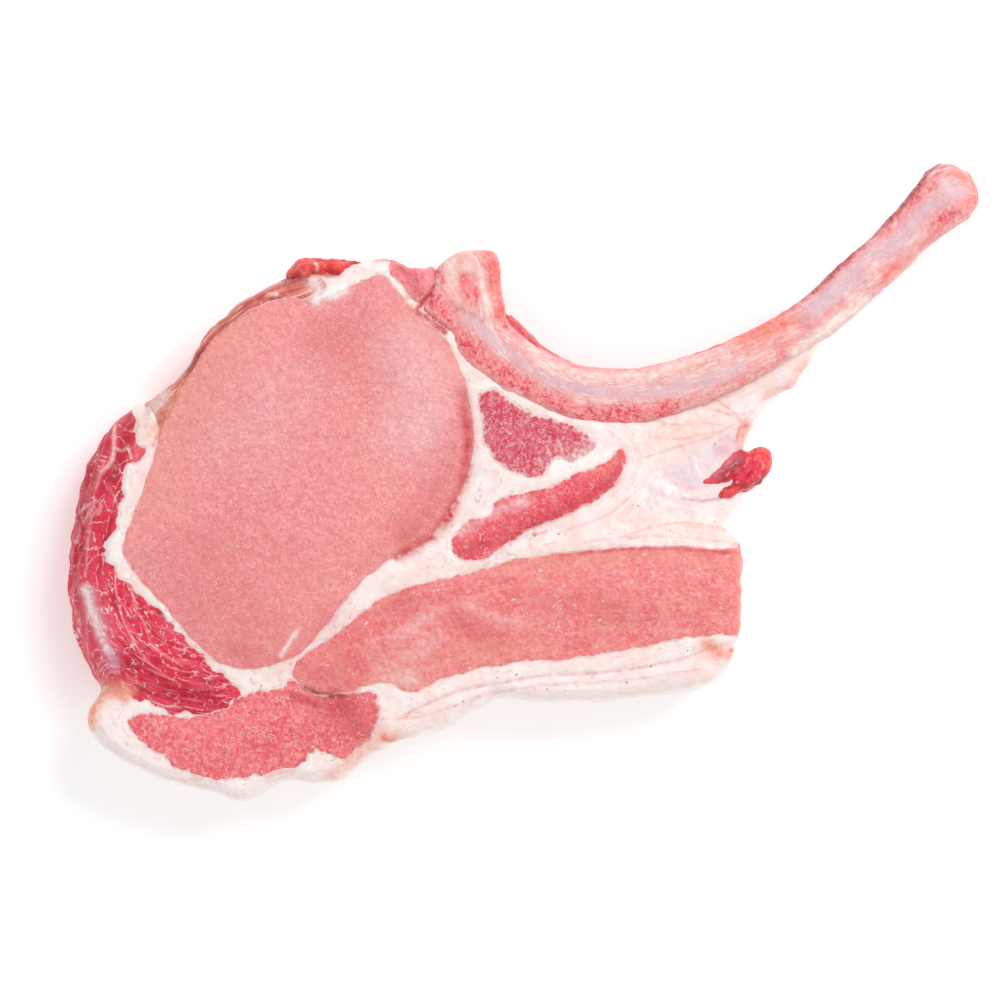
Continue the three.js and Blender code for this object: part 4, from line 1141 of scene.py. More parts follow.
def ball(centre, half, turn):
    """A stretched ball as a loft of rings, turned in plan."""
    around = np.linspace(0, 2 * np.pi, BALL_CORNERS, endpoint=False)
    c, s = np.cos(np.radians(turn)), np.sin(np.radians(turn))
    sections = []
    for tilt in BALL_TILTS:
        x = half[0] * np.cos(tilt) * np.cos(around)
        y = half[1] * np.cos(tilt) * np.sin(around)
        z = np.full(BALL_CORNERS, half[2] * np.sin(tilt))
        sections.append(np.column_stack([x * c - y * s, x * s + y * c, z]) + centre)
    return loft("ball", sections)


def lobed(name, lobes, seed):
    """The lobes as one skin, made uneven, with the strokes of the loose ends."""
    mesh = remade(name, [ball(*lobe) for lobe in lobes], LOBE_VOXEL, 3)
    at, out = places_and_normals(mesh)
    bump = rumples(at, (0.35, 2.6, seed, 2), (0.12, 1.0, seed + 1, 1))
    numbers = {**tints(at[:, :2], LOOSE_STROKES), "side": np.zeros(len(at)), "flow": at.copy()}
    return skin_piece(name, mesh, at + out * bump[:, None], numbers)


pieces["red_nub"] = lobed("red_nub_piece", NUB_LOBES, 31)
pieces["top_scrap"] = lobed("top_scrap_piece", SCRAP_LOBES, 35)
for name in ("red_nub", "top_scrap"):
    print(f"  {name}: {len(pieces[name].data.polygons)} faces")

# %% [markdown]
# ## Material tools
#
# A material is a small net of nodes. One function adds a node, sets it and links it. On top of it
# stand a few recipes for what raw meat shows everywhere: patches of another tone, fine pale fibres,
# the strokes made above, and relief too fine for the mesh. Sizes are in millimetres.
#
# Some inputs have numbers here. On a Map Range, 0 is the value, 1 and 2 are the range it comes
# from, and 3 and 4 the range it goes to. On a Mix of colours, 0 is the share, 6 is the colour below
# and 7 the colour laid on it. On a Math node, 0, 1 and 2 are its numbers in order.

# %% Tools: a colour, a node, a new finish
def linear(code):
    """An sRGB hex colour as linear red, green, blue and alpha."""
    parts = [int(code[i:i + 2], 16) / 255 for i in (1, 3, 5)]
    return [c / 12.92 if c <= 0.04045 else ((c + 0.055) / 1.055) ** 2.4 for c in parts] + [1.0]


def add(tree, kind, inputs=None, out=0, **settings):
    """Adds a node, sets it, fills or links its inputs, and returns one of its outputs."""
    made = tree.nodes.new(kind)
    for key, value in settings.items():
        setattr(made, key, value)
    for key, value in (inputs or {}).items():
        if isinstance(value, bpy.types.NodeSocket):
            tree.links.new(value, made.inputs[key])
        else:
            made.inputs[key].default_value = value
    return made.outputs[out]


def start_finish(name, fineness=0.85, detail=4.0):
    """A new material, its node tree, the place in mm, the flow along the fibres in mm and a noise."""
    material = bpy.data.materials.new(name)
    material.use_nodes = True
    tree = material.node_tree
    tree.nodes.clear()
    metres = add(tree, "ShaderNodeTexCoord", out=3)
    place = add(tree, "ShaderNodeVectorMath", {0: metres, 1: (1000, 1000, 1000)}, operation="MULTIPLY")
    flow = add(tree, "ShaderNodeAttribute", out=1, attribute_name="flow")
    lump = add(tree, "ShaderNodeTexNoise", {"Vector": place, "Scale": fineness, "Detail": detail})
    return material, tree, place, flow, lump


print("fat white in linear light:", [round(part, 3) for part in linear("#fcecea")])

# %% Recipes: patches, net, flecks
SEED_STEP = 3.7  # keeps the noises of the patches apart
FLECK_FULL, FLECK_GONE = 0.10, 0.34  # of a cell, from a fleck's middle


def patches(tree, place, ground, layers):
    """Soft patches of other colours: (size in mm, low, high, strength, colour) each."""
    for seed, (size, low, high, strength, colour) in enumerate(layers):
        lump = add(tree, "ShaderNodeTexNoise", {
            "Vector": place, "W": seed * SEED_STEP + size, "Scale": 1 / size, "Detail": 2.0,
        }, noise_dimensions="4D")
        share = add(tree, "ShaderNodeMapRange", {0: lump, 1: low, 2: high, 3: 0.0, 4: strength},
                    interpolation_type="SMOOTHSTEP")
        ground = add(tree, "ShaderNodeMix", {0: share, 6: ground, 7: linear(colour)}, 2,
                     data_type="RGBA")
    return ground


def shaken(tree, place, size):
    """The place moved about by noise, so that a pattern drawn on it loses its straight lines."""
    shake = add(tree, "ShaderNodeTexNoise", {"Vector": place, "Scale": 1.3 / size, "Detail": 1.0}, 1)
    return add(tree, "ShaderNodeVectorMath", {0: shake, 1: (size, size, size), 2: place},
               operation="MULTIPLY_ADD")


def pale_net(tree, place, size, gap):
    """Mask of the net of tissue between bundles about size mm wide."""
    edge = add(tree, "ShaderNodeTexVoronoi", {"Vector": shaken(tree, place, size), "Scale": 1 / size},
               feature="DISTANCE_TO_EDGE")
    return add(tree, "ShaderNodeMapRange", {0: edge, 1: 0.0, 2: gap, 3: 1.0, 4: 0.0},
               interpolation_type="SMOOTHSTEP")


def flecks(tree, place, size, share):
    """Mask of small uneven flecks in a share of the cells, which are size mm wide."""
    away = add(tree, "ShaderNodeTexVoronoi", {"Vector": shaken(tree, place, size), "Scale": 1 / size})
    dot = add(tree, "ShaderNodeMapRange", {0: away, 1: FLECK_FULL, 2: FLECK_GONE, 3: 1.0, 4: 0.0},
              interpolation_type="SMOOTHSTEP")
    chance = add(tree, "ShaderNodeSeparateXYZ", {0: away.node.outputs["Color"]})
    keep = add(tree, "ShaderNodeMath", {0: chance, 1: share}, operation="LESS_THAN")
    return add(tree, "ShaderNodeMath", {0: dot, 1: keep}, operation="MULTIPLY")


print("recipes:", [recipe.__name__ for recipe in (patches, pale_net, flecks)])

# %% Recipes: layers, stains, seams, relief
def laid_over(tree, ground, mask, strength, colour):
    """A colour, as a code or as another node's output, laid over the ground where the mask is high."""
    share = add(tree, "ShaderNodeMath", {0: mask, 1: strength}, operation="MULTIPLY", use_clamp=True)
    upper = linear(colour) if isinstance(colour, str) else colour
    return add(tree, "ShaderNodeMix", {0: share, 6: ground, 7: upper}, 2, data_type="RGBA")


def stained(tree, ground, lump, table):
    """The strokes as colour, broken up by a noise: (kind, colour, strength) each."""
    broken = add(tree, "ShaderNodeMapRange", {0: lump, 1: 0.3, 2: 0.7, 3: 0.6, 4: 1.3})
    for kind, colour, strength in table:
        mark = add(tree, "ShaderNodeAttribute", out=2, attribute_name=kind)
        mark = add(tree, "ShaderNodeMath", {0: mark, 1: broken}, operation="MULTIPLY")
        ground = laid_over(tree, ground, mark, strength, colour)
    return ground


def near_seam(tree, flow, lump, low, narrow, wide):
    """Mask that fades from 1 at a seam to 0 some way off, narrow to wide mm by the noise."""
    away = add(tree, "ShaderNodeSeparateXYZ", {0: flow}, 2)
    width = add(tree, "ShaderNodeMapRange", {0: lump, 1: low, 2: 0.7, 3: narrow, 4: wide})
    return add(tree, "ShaderNodeMapRange", {0: away, 1: 0.0, 2: width, 3: 1.0, 4: 0.0},
               interpolation_type="SMOOTHSTEP")


def relief(tree, place, layers, extra=0.0):
    """Bump from noise: (size in mm, height in mm) each, on top of an extra height in mm."""
    total = extra
    for seed, (size, tall) in enumerate(layers):
        lump = add(tree, "ShaderNodeTexNoise", {
            "Vector": place, "W": 40.0 + seed, "Scale": 1 / size, "Detail": 1.0,
        }, noise_dimensions="4D")
        total = add(tree, "ShaderNodeMath", {0: lump, 1: tall, 2: total}, operation="MULTIPLY_ADD")
    return add(tree, "ShaderNodeBump", {"Height": total, "Strength": 1.0, "Distance": 0.001})


print("recipes:", [recipe.__name__ for recipe in (laid_over, stained, near_seam, relief)])

# %% End of a finish
TISSUE_IOR, WATER_IOR = 1.4, 1.33
SHINE, WATER_ROUGHNESS = 0.35, 0.2
GLOW_RADIUS, GLOW_SCALE = (1.0, 0.35, 0.25), 0.0015  # red light goes farthest, 1.5 mm


def end_finish(material, tree, lump, colour, bump, rough, wet, glow):
    """The shader itself: moist tissue under a thin film of water."""
    uneven = add(tree, "ShaderNodeMapRange", {0: lump, 1: 0.3, 2: 0.7, 3: rough - 0.08, 4: rough + 0.1})
    shader = add(tree, "ShaderNodeBsdfPrincipled", {
        "Base Color": colour, "Normal": bump, "Roughness": uneven, "IOR": TISSUE_IOR,
        "Specular IOR Level": SHINE, "Subsurface Weight": glow, "Subsurface Radius": GLOW_RADIUS,
        "Subsurface Scale": GLOW_SCALE, "Coat Weight": wet, "Coat Roughness": WATER_ROUGHNESS,
        "Coat IOR": WATER_IOR,
    })
    output = tree.nodes.new("ShaderNodeOutputMaterial")
    tree.links.new(shader, output.inputs["Surface"])
    return material


print("a film of water with IOR", WATER_IOR, "lies on tissue with IOR", TISSUE_IOR)

# %% [markdown]
# ## Raw muscle
#
# Raw muscle is a mass of thin red fibres in pale tissue. Cut across, it looks grainy: red bundles
# in a fine pale net, with small light flecks. Each muscle gets its own ground colour, patches, net
# and flecks. At a seam a thin pale film of tissue runs over its edge, so the ground fades into the
# fat's colour there within a millimetre or so. Where a muscle runs lengthwise, its pattern is drawn
# in the numbers of its guide line.

# %% Muscle recipe
FILM = "#f6dcd8"
MUSCLE_RELIEF = [(2.4, 0.25), (0.9, 0.16), (0.45, 0.08)]  # size and height in mm
NET_HEIGHT, MUSCLE_GLOW = 0.06, 0.12


def side_ribbons(tree, ground, lengthwise, side):
    """The side's own colour in ribbons that follow the fibres."""
    flank = add(tree, "ShaderNodeAttribute", out=2, attribute_name="side")
    ribbon = add(tree, "ShaderNodeTexNoise", {"Vector": lengthwise, "Scale": 0.7, "Detail": 2.0})
    ribbon = add(tree, "ShaderNodeMapRange", {0: ribbon, 1: 0.35, 2: 0.62, 3: 0.1, 4: 0.9})
    flank = add(tree, "ShaderNodeMath", {0: flank, 1: ribbon}, operation="MULTIPLY")
    return laid_over(tree, ground, flank, 0.9, side)


def flecked(tree, ground, guide, place, fleck):
    """Flecks that crowd in some places and are rare in others."""
    size, share, colour, strength = fleck
    crowd = add(tree, "ShaderNodeTexNoise", {"Vector": place, "Scale": 0.13, "Detail": 2.0})
    crowd = add(tree, "ShaderNodeMapRange", {0: crowd, 1: 0.42, 2: 0.6, 3: 0.25, 4: 1.1})
    dots = flecks(tree, guide, size, share)
    dots = add(tree, "ShaderNodeMath", {0: dots, 1: crowd}, operation="MULTIPLY")
    return laid_over(tree, ground, dots, strength, colour)


def raw_muscle(name, ground, layers, net, fleck, fringe, side, dark,
               rough=0.42, along=1.0, wet=0.25, streaks=(), warm="#f0a58a"):
    """net is (size, gap, colour, strength), fleck is (size, share, colour, strength), fringe is the
    width of the pale edge in mm. side, dark and warm are the colours of the side and of the dark red
    and orange strokes. along is how far the pattern is stretched along the fibres."""
    material, tree, place, flow, lump = start_finish(name)
    guide = place
    if along > 1:
        guide = add(tree, "ShaderNodeVectorMath", {0: flow, 1: (1 / along, 1, 0)}, operation="MULTIPLY")
    lengthwise = add(tree, "ShaderNodeVectorMath", {0: flow, 1: (0.1, 1, 0)}, operation="MULTIPLY")
    colour = patches(tree, place, linear(ground), layers)
    colour = patches(tree, lengthwise, colour, streaks)
    colour = side_ribbons(tree, colour, lengthwise, side)

    web = pale_net(tree, guide, net[0], net[1])
    gate = add(tree, "ShaderNodeMapRange", {0: lump, 1: 0.44, 2: 0.58, 3: 0.05, 4: 1.0})
    gated = add(tree, "ShaderNodeMath", {0: web, 1: gate}, operation="MULTIPLY")
    colour = laid_over(tree, colour, gated, net[3], net[2])
    colour = flecked(tree, colour, guide, place, fleck)
    edge = near_seam(tree, flow, lump, 0.35, 0.05, fringe)
    colour = laid_over(tree, colour, edge, 1.0, FILM)
    colour = stained(tree, colour, lump, [
        ("blood_and_shade", dark, 0.85), ("brown", "#7c2228", 0.9), ("orange", warm, 0.8),
        ("lilac", "#dcb8cc", 0.8), ("pale", "#fae3e2", 0.9),
    ])
    raised = add(tree, "ShaderNodeMath", {0: web, 1: NET_HEIGHT}, operation="MULTIPLY")
    bump = relief(tree, place, MUSCLE_RELIEF, raised)
    return end_finish(material, tree, lump, colour, bump, rough, wet, MUSCLE_GLOW)


print("tissue film over the muscles' edges:", FILM)

# %% Finishes of the large muscles
finishes = {}
# light pink with fine pale flecks: the eye reads a tender muscle of close grain
finishes["loin_eye"] = raw_muscle(
    "raw_pork_loin", "#f29597",
    [(20, 0.45, 0.6, 0.5, "#ea858a"), (26, 0.5, 0.62, 0.3, "#f4a18e"), (5, 0.5, 0.66, 0.4, "#e98387"),
     (1.4, 0.5, 0.66, 0.45, "#f7aeac"), (0.7, 0.5, 0.64, 0.5, "#e27276")],
    (0.9, 0.25, "#f8b9b7", 0.5), (0.8, 0.42, "#ffe2e0", 0.7), 0.3, "#e08a80", "#cc3c3e", wet=0.15)
# dark red with long white lines: a coarse muscle that has worked, pulled along by the knife
finishes["cap_muscle"] = raw_muscle(
    "dark_cap_muscle", "#e32c4a",
    [(7, 0.45, 0.6, 0.6, "#ea4a62"), (2.2, 0.5, 0.66, 0.6, "#b81a36"),
     (0.8, 0.5, 0.66, 0.5, "#ee5c72")],
    (2.1, 0.05, "#fbdde0", 0.8), (0.9, 0.13, "#fff0f2", 0.85), 0.6, "#e62444", "#a80a24",
    rough=0.38, along=3.0, wet=0.15,
    streaks=[(1.6, 0.5, 0.64, 0.6, "#b41c36"), (1.0, 0.56, 0.66, 0.4, "#f07c8a"),
             (0.6, 0.59, 0.67, 0.5, "#fac0c6")])
# coral with soft streaks: loose bundles that take up the light unevenly
finishes["belly_muscle"] = raw_muscle(
    "raw_belly_muscle", "#f18284",
    [(12, 0.45, 0.62, 0.5, "#e8696e"), (3.5, 0.5, 0.62, 0.6, "#f59c94"),
     (1.2, 0.5, 0.66, 0.4, "#de5c64"), (0.6, 0.52, 0.66, 0.4, "#f7aca6")],
    (1.0, 0.25, "#f8b3ad", 0.55), (1.1, 0.24, "#ffe4e0", 0.7), 0.6, "#ea8a84", "#c83e46",
    wet=0.15, along=1.6,
    streaks=[(2.4, 0.52, 0.66, 0.35, "#df6468"), (1.2, 0.54, 0.66, 0.3, "#f6aca6")])
# pale net on coral red: bundles coarse enough to count
finishes["lower_muscle"] = raw_muscle(
    "raw_lower_muscle", "#f4767e",
    [(8, 0.45, 0.62, 0.5, "#e85863"), (2.2, 0.55, 0.68, 0.5, "#f89a9a"),
     (1.1, 0.48, 0.62, 0.5, "#dc4656")],
    (0.95, 0.26, "#fab2b0", 0.65), (1.0, 0.30, "#ffe2e0", 0.75), 0.8, "#e47c80", "#b62436")
print(len(finishes), "finishes")

# %% Finishes of the small muscles
# light and blurred: a small muscle that is half covered by tissue
finishes["spine_muscle"] = raw_muscle(
    "raw_spine_muscle", "#f68e94",
    [(3, 0.5, 0.66, 0.5, "#f4a4a8"), (1.0, 0.5, 0.66, 0.6, "#d84c5a")],
    (1.0, 0.22, "#f8bcbc", 0.6), (0.8, 0.2, "#fcdcdc", 0.6), 0.4, "#e88088", "#c03440")
# dull red with a wide pale fringe: it seems to lie in the fat, not on it
finishes["rib_muscle_upper"] = raw_muscle(
    "rib_muscle_dark", "#d6425a",
    [(5, 0.45, 0.62, 0.6, "#dc5c70"), (2.5, 0.55, 0.68, 0.4, "#ee8c98"),
     (0.8, 0.5, 0.62, 0.5, "#ee96a0")],
    (0.9, 0.22, "#f5b0b8", 0.7), (1.0, 0.30, "#ffe6e8", 0.75), 1.6, "#d05a68", "#a02438",
    streaks=[(1.2, 0.5, 0.66, 0.4, "#b83a50")])
# clear red, warmer at its tip: fresher and wetter than its neighbour
finishes["rib_muscle_lower"] = raw_muscle(
    "rib_muscle_red", "#ee4e5e",
    [(5, 0.45, 0.62, 0.5, "#f07a80"), (2.2, 0.5, 0.66, 0.5, "#dc3a50"),
     (0.8, 0.5, 0.64, 0.4, "#f08c92")],
    (0.9, 0.22, "#f6a6aa", 0.6), (1.0, 0.24, "#ffe0e2", 0.7), 0.9, "#e06470", "#bc2032",
    warm="#fa9a88")
# red brown and cream streaks: meat that the air has begun to dry
finishes["side_strip"] = raw_muscle(
    "dried_side_strip", "#ea786e",
    [(5, 0.45, 0.62, 0.6, "#da524f"), (3, 0.5, 0.64, 0.6, "#f4a890")],
    (1.6, 0.08, "#f4c8bc", 0.7), (1.1, 0.2, "#ffe4da", 0.7), 0.3, "#cc3a42", "#a01a28",
    along=4, wet=0.2, warm="#da8a6c",
    streaks=[(1.5, 0.46, 0.56, 0.75, "#bd3640"), (0.9, 0.51, 0.59, 0.8, "#f6c8bc"),
             (0.5, 0.52, 0.62, 0.6, "#a02c36")])
# deep red and wet: meat that was torn off beside the bone
finishes["rib_bed_muscle"] = raw_muscle(
    "rib_bed_dark", "#da4a52",
    [(4, 0.45, 0.62, 0.5, "#b82c3a"), (2, 0.5, 0.68, 0.4, "#ee7c78")],
    (1.2, 0.16, "#f0a8a4", 0.4), (1.0, 0.12, "#f6cfca", 0.5), 0.3, "#cc3c48", "#9e1c2a",
    wet=0.3, along=3, streaks=[(1.0, 0.54, 0.66, 0.4, "#f09a94")])
print(len(finishes), "finishes")

# %% Finishes of the loose ends
# strong red under much water: a soft, swollen end that glistens
finishes["red_nub"] = raw_muscle(
    "wet_red_nub", "#f63c54",
    [(5, 0.45, 0.6, 0.7, "#d81c3e"), (4, 0.56, 0.66, 0.6, "#f4665a"),
     (0.8, 0.52, 0.64, 0.5, "#fa7c88")],
    (2.2, 0.04, "#f68c98", 0.5), (1.2, 0.14, "#ffe2e4", 0.8), 0.0, "#e2304a", "#a80c24",
    rough=0.3, wet=0.5, warm="#f25244")
# red and orange side by side: a torn shred, thin enough to let light through at its edge
finishes["top_scrap"] = raw_muscle(
    "wet_red_scrap", "#ec3a48",
    [(5, 0.45, 0.6, 0.7, "#d81e38"), (4.0, 0.5, 0.6, 0.6, "#f2624c"),
     (0.8, 0.52, 0.64, 0.5, "#f68080")],
    (1.8, 0.06, "#f4a49c", 0.6), (1.1, 0.16, "#fddcd6", 0.7), 0.0, "#d4343c", "#b01426",
    rough=0.32, wet=0.4, warm="#ee5636")
print(len(finishes), "finishes")

# %% [markdown]
# ## Pork fat
#
# Back fat is firm, smooth and nearly white, with a pink blush near the meat. Thin pink-brown lines
# of tissue run through it side by side with the seams, so they are drawn as contours of the
# distance to the nearest muscle, bent a little by noise.

# %% Fat finish
LINE_WIDTH = 0.02  # of the noise's range, half the width of a tissue line


def tissue_lines(tree, seams, lump):
    """Mask of thin lines where a noise passes through its middle value, here and there."""
    swirl = add(tree, "ShaderNodeTexNoise", {"Vector": seams, "Scale": 1.1, "Detail": 2.0})
    off = add(tree, "ShaderNodeMath", {0: swirl, 1: 0.5}, operation="SUBTRACT")
    off = add(tree, "ShaderNodeMath", {0: off}, operation="ABSOLUTE")
    line = add(tree, "ShaderNodeMapRange", {0: off, 1: 0.0, 2: LINE_WIDTH, 3: 1.0, 4: 0.0},
               interpolation_type="SMOOTHSTEP")
    gate = add(tree, "ShaderNodeMapRange", {0: lump, 1: 0.46, 2: 0.6, 3: 0.0, 4: 1.0})
    return add(tree, "ShaderNodeMath", {0: line, 1: gate}, operation="MULTIPLY")


def pork_fat():
    """Warm white that glows a little: the eye reads firm, smooth fat with some depth."""
    material, tree, place, flow, lump = start_finish("raw_pork_fat")
    colour = patches(tree, place, linear("#fcecea"), [
        (9, 0.46, 0.62, 0.7, "#fcdfd8"), (4, 0.52, 0.66, 0.5, "#fffaf4"),
        (1.6, 0.55, 0.7, 0.4, "#f8cfc9"),
    ])
    seams = add(tree, "ShaderNodeVectorMath", {0: flow, 1: (0.07, 0.8, 0)}, operation="MULTIPLY")
    colour = patches(tree, seams, colour, [(1.2, 0.54, 0.68, 0.4, "#f6cdc6")])
    colour = laid_over(tree, colour, tissue_lines(tree, seams, lump), 0.6, "#e2a096")
    blush = near_seam(tree, flow, lump, 0.4, 0.1, 1.2)
    colour = laid_over(tree, colour, blush, 0.5, "#f5bdb8")
    # lighter, warmer sides: painted light against the shade on the rim, with some warmth of its own
    flank = add(tree, "ShaderNodeAttribute", out=2, attribute_name="side")
    colour = laid_over(tree, colour, flank, 0.6, "#fff0ea")
    colour = stained(tree, colour, lump, [
        ("blood_and_shade", "#d04450", 0.85), ("brown", "#d47c72", 0.8), ("orange", "#f0947a", 0.8),
        ("lilac", "#e8d2de", 0.9), ("pale", "#fff8f6", 0.8),
    ])
    bump = relief(tree, place, [(3.0, 0.25), (0.9, 0.07)])
    return end_finish(material, tree, lump, colour, bump, rough=0.4, wet=0.2, glow=0.2)


finishes["seam_fat"] = finishes["outer_fat"] = pork_fat()
print(len(finishes), "finishes")

# %% [markdown]
# ## Bare bone
#
# Fresh bone is covered by a thin fibrous skin. It is pinkish cream, with fine streaks along the
# bone, a lilac sheen, and red where marrow or blood shows through. Opened marrow is granular: red,
# pink and pale grains side by side. So the marrow gets patches of its own, and they take the place
# of a plain colour in the red strokes.

# %% Bone finish
def bare_bone():
    """Cream, lilac and red: the eye reads a hard, thin shell with soft marrow behind it."""
    material, tree, place, flow, lump = start_finish("fresh_rib_bone")
    colour = patches(tree, place, linear("#f0b9b4"), [
        (8, 0.45, 0.62, 0.6, "#eba4a2"), (3, 0.5, 0.66, 0.5, "#f9d6cc"),
        (1.2, 0.52, 0.64, 0.5, "#e08a8c"),
    ])
    lengthwise = add(tree, "ShaderNodeVectorMath", {0: flow, 1: (0.14, 1, 0)}, operation="MULTIPLY")
    colour = patches(tree, lengthwise, colour, [
        (1.8, 0.5, 0.64, 0.4, "#fae0d6"), (0.9, 0.52, 0.66, 0.5, "#de8888"),
        (0.5, 0.54, 0.64, 0.6, "#fff2ec"),
    ])
    marrow = patches(tree, place, linear("#f37279"), [
        (2.2, 0.45, 0.6, 0.7, "#f8989a"), (1.1, 0.48, 0.6, 0.85, "#e04057"),
        (0.7, 0.5, 0.62, 0.6, "#fcbab6"),
    ])
    colour = stained(tree, colour, lump, [
        ("lilac", "#dcbac8", 0.8), ("blood_and_shade", marrow, 0.95), ("orange", "#f07860", 0.7),
        ("brown", "#982432", 0.75), ("pale", "#fcefe9", 0.85),
    ])
    colour = laid_over(tree, colour, flecks(tree, place, 0.9, 0.25), 0.35, "#fff0ec")
    bump = relief(tree, place, [(2.0, 0.2), (0.8, 0.14)])
    return end_finish(material, tree, lump, colour, bump, rough=0.42, wet=0.2, glow=0.1)


finishes["rib_bone"] = bare_bone()
print(len(finishes), "finishes")

# %% [markdown]
# ## Loose fibres and specks
#
# The blade leaves short, fine, curly ends of white tissue all over the cut meat, and small dark
# specks of blood on the fat. There are hundreds of strands, so a Geometry Nodes tree lays them out:
# it scatters points on the meat, sets a bent strand on each at a random turn and size, bends them
# all once more with noise, and gives them their thickness. The specks lie at places given one by one,
# and a second tree gives each its turn and size. Both results are kept as plain meshes. Lengths in
# these trees are in metres.

# %% Tools: a geometry tree, and what it grows
def group_with(name, sockets):
    """A geometry tree with its inputs and output, as tree, input node and output node."""
    tree = bpy.data.node_groups.new(name, "GeometryNodeTree")
    tree.interface.new_socket("Geometry", in_out="INPUT", socket_type="NodeSocketGeometry")
    for label, kind in sockets:
        tree.interface.new_socket(label, in_out="INPUT", socket_type="NodeSocket" + kind)
    tree.interface.new_socket("Geometry", in_out="OUTPUT", socket_type="NodeSocketGeometry")
    return tree, tree.nodes.new("NodeGroupInput"), tree.nodes.new("NodeGroupOutput")


def grown(name, places, faces, tree, values):
    """What the tree grows on a mesh, as a plain object without modifiers."""
    made = places.copy()
    made[:, :2] -= ORIGIN_IN_OUTLINES
    soil = bpy.data.meshes.new(name)
    soil.from_pydata((made / 1000).tolist(), [], faces)
    ground = bpy.data.objects.new(name + "_soil", soil)
    bpy.context.collection.objects.link(ground)
    growth = ground.modifiers.new("growth", "NODES")
    growth.node_group = tree
    for item in tree.interface.items_tree:
        if item.in_out == "INPUT" and item.name in values:
            growth[item.identifier] = values[item.name]
    graph = bpy.context.evaluated_depsgraph_get()
    mesh = bpy.data.meshes.new_from_object(ground.evaluated_get(graph))
    bpy.data.objects.remove(ground)
    mesh.shade_smooth()
    thing = bpy.data.objects.new(name, mesh)
    bpy.context.collection.objects.link(thing)
    print(f"{name}: {len(mesh.polygons)} faces")
    return thing


def soft_tissue(name, ground, other):
    """A plain finish in two tones, for things too small to show more."""
    material, tree, place, _, lump = start_finish(name, 1.0, 2.0)
    colour = patches(tree, place, linear(ground), [(1.5, 0.45, 0.6, 0.8, other)])
    bump = relief(tree, place, [(0.5, 0.05)])
    return end_finish(material, tree, lump, colour, bump, rough=0.5, wet=0.1, glow=0.0)


print("tools:", [tool.__name__ for tool in (group_with, grown, soft_tissue)])

# %% A tree that scatters strands
FULL_TURN = 6.283  # radians
SWEEPS = (0.7, 1.6, 3.4)  # radians: a nearly straight strand, a bent one and a curl
SMALLEST, LARGEST = 0.4, 1.5  # size of a strand, as a share of its length
CROWD_SCALE, BEND_SCALE = 110.0, 900.0  # noise in metres: crowds 9 mm apart, bends 1 mm
BEND_MIDDLE, BEND_SIZE = (0.5, 0.5, 0.75), (0.0016, 0.0016, 0.00016)


def strand_tree():
    """Points on a mesh, an arc on each, one more bend, and a thickness."""
    tree, given, result = group_with("strands", [
        ("Density", "Float"), ("Length", "Float"), ("Thickness", "Float"), ("Seed", "Int"),
        ("Material", "Material"),
    ])
    crowd = add(tree, "ShaderNodeTexNoise", {"Scale": CROWD_SCALE, "Detail": 1.0})
    crowd = add(tree, "ShaderNodeMapRange", {0: crowd, 1: 0.45, 2: 0.62, 3: 0.15, 4: 2.2})
    dense = add(tree, "ShaderNodeMath", {0: given.outputs["Density"], 1: crowd}, operation="MULTIPLY")
    spots = add(tree, "GeometryNodeDistributePointsOnFaces", {
        "Mesh": given.outputs["Geometry"], "Density": dense, "Seed": given.outputs["Seed"],
    })
    shapes = tree.nodes.new("GeometryNodeJoinGeometry")
    for sweep in SWEEPS:
        radius = add(tree, "ShaderNodeMath", {0: given.outputs["Length"], 1: sweep}, operation="DIVIDE")
        arc = add(tree, "GeometryNodeCurveArc", {
            "Resolution": 5, "Radius": radius, "Sweep Angle": sweep,
        })
        tree.links.new(add(tree, "GeometryNodeGeometryToInstance", {0: arc}), shapes.inputs[0])
    turn = add(tree, "FunctionNodeRandomValue", {
        2: 0.0, 3: FULL_TURN, "Seed": given.outputs["Seed"],
    }, 1)
    about = add(tree, "FunctionNodeAxisAngleToRotation", {"Angle": turn})
    laid = add(tree, "FunctionNodeRotateRotation", {
        0: spots.node.outputs["Rotation"], 1: about,
    }, rotation_space="LOCAL")
    size = add(tree, "FunctionNodeRandomValue", {2: SMALLEST, 3: LARGEST, "Seed": 5}, 1)
    strands = add(tree, "GeometryNodeInstanceOnPoints", {
        "Points": spots, "Instance": shapes.outputs[0], "Pick Instance": True,
        "Rotation": laid, "Scale": size,
    })
    # realized before the bend, so that each strand bends in its own way
    strands = add(tree, "GeometryNodeRealizeInstances", {0: strands})
    bend = add(tree, "ShaderNodeTexNoise", {"Scale": BEND_SCALE, "Detail": 1.0}, 1)
    bend = add(tree, "ShaderNodeVectorMath", {0: bend, 1: BEND_MIDDLE}, operation="SUBTRACT")
    bend = add(tree, "ShaderNodeVectorMath", {0: bend, 1: BEND_SIZE}, operation="MULTIPLY")
    strands = add(tree, "GeometryNodeSetPosition", {"Geometry": strands, "Offset": bend})
    circle = add(tree, "GeometryNodeCurvePrimitiveCircle", {
        "Resolution": 3, "Radius": given.outputs["Thickness"],
    })
    strands = add(tree, "GeometryNodeCurveToMesh", {0: strands, 1: circle, "Fill Caps": True})
    strands = add(tree, "GeometryNodeSetMaterial", {
        "Geometry": strands, "Material": given.outputs["Material"],
    })
    tree.links.new(strands, result.inputs[0])
    return tree


strands = strand_tree()
print("strand tree:", len(strands.nodes), "nodes")

# %% Strands on the muscles
STRANDS = {  # how many on a square millimetre
    "loin_eye": 0.06, "cap_muscle": 0.16, "belly_muscle": 0.05, "lower_muscle": 0.12,
    "rib_muscle_upper": 0.2, "rib_muscle_lower": 0.12, "spine_muscle": 0.2,
}
STRAND_LENGTH, STRAND_RADIUS = 0.0012, 0.00008  # metres
OFF_SEAM, OFF_RIB = 0.8, 8  # mm, no strand is nearer to a seam or to the rib's middle line
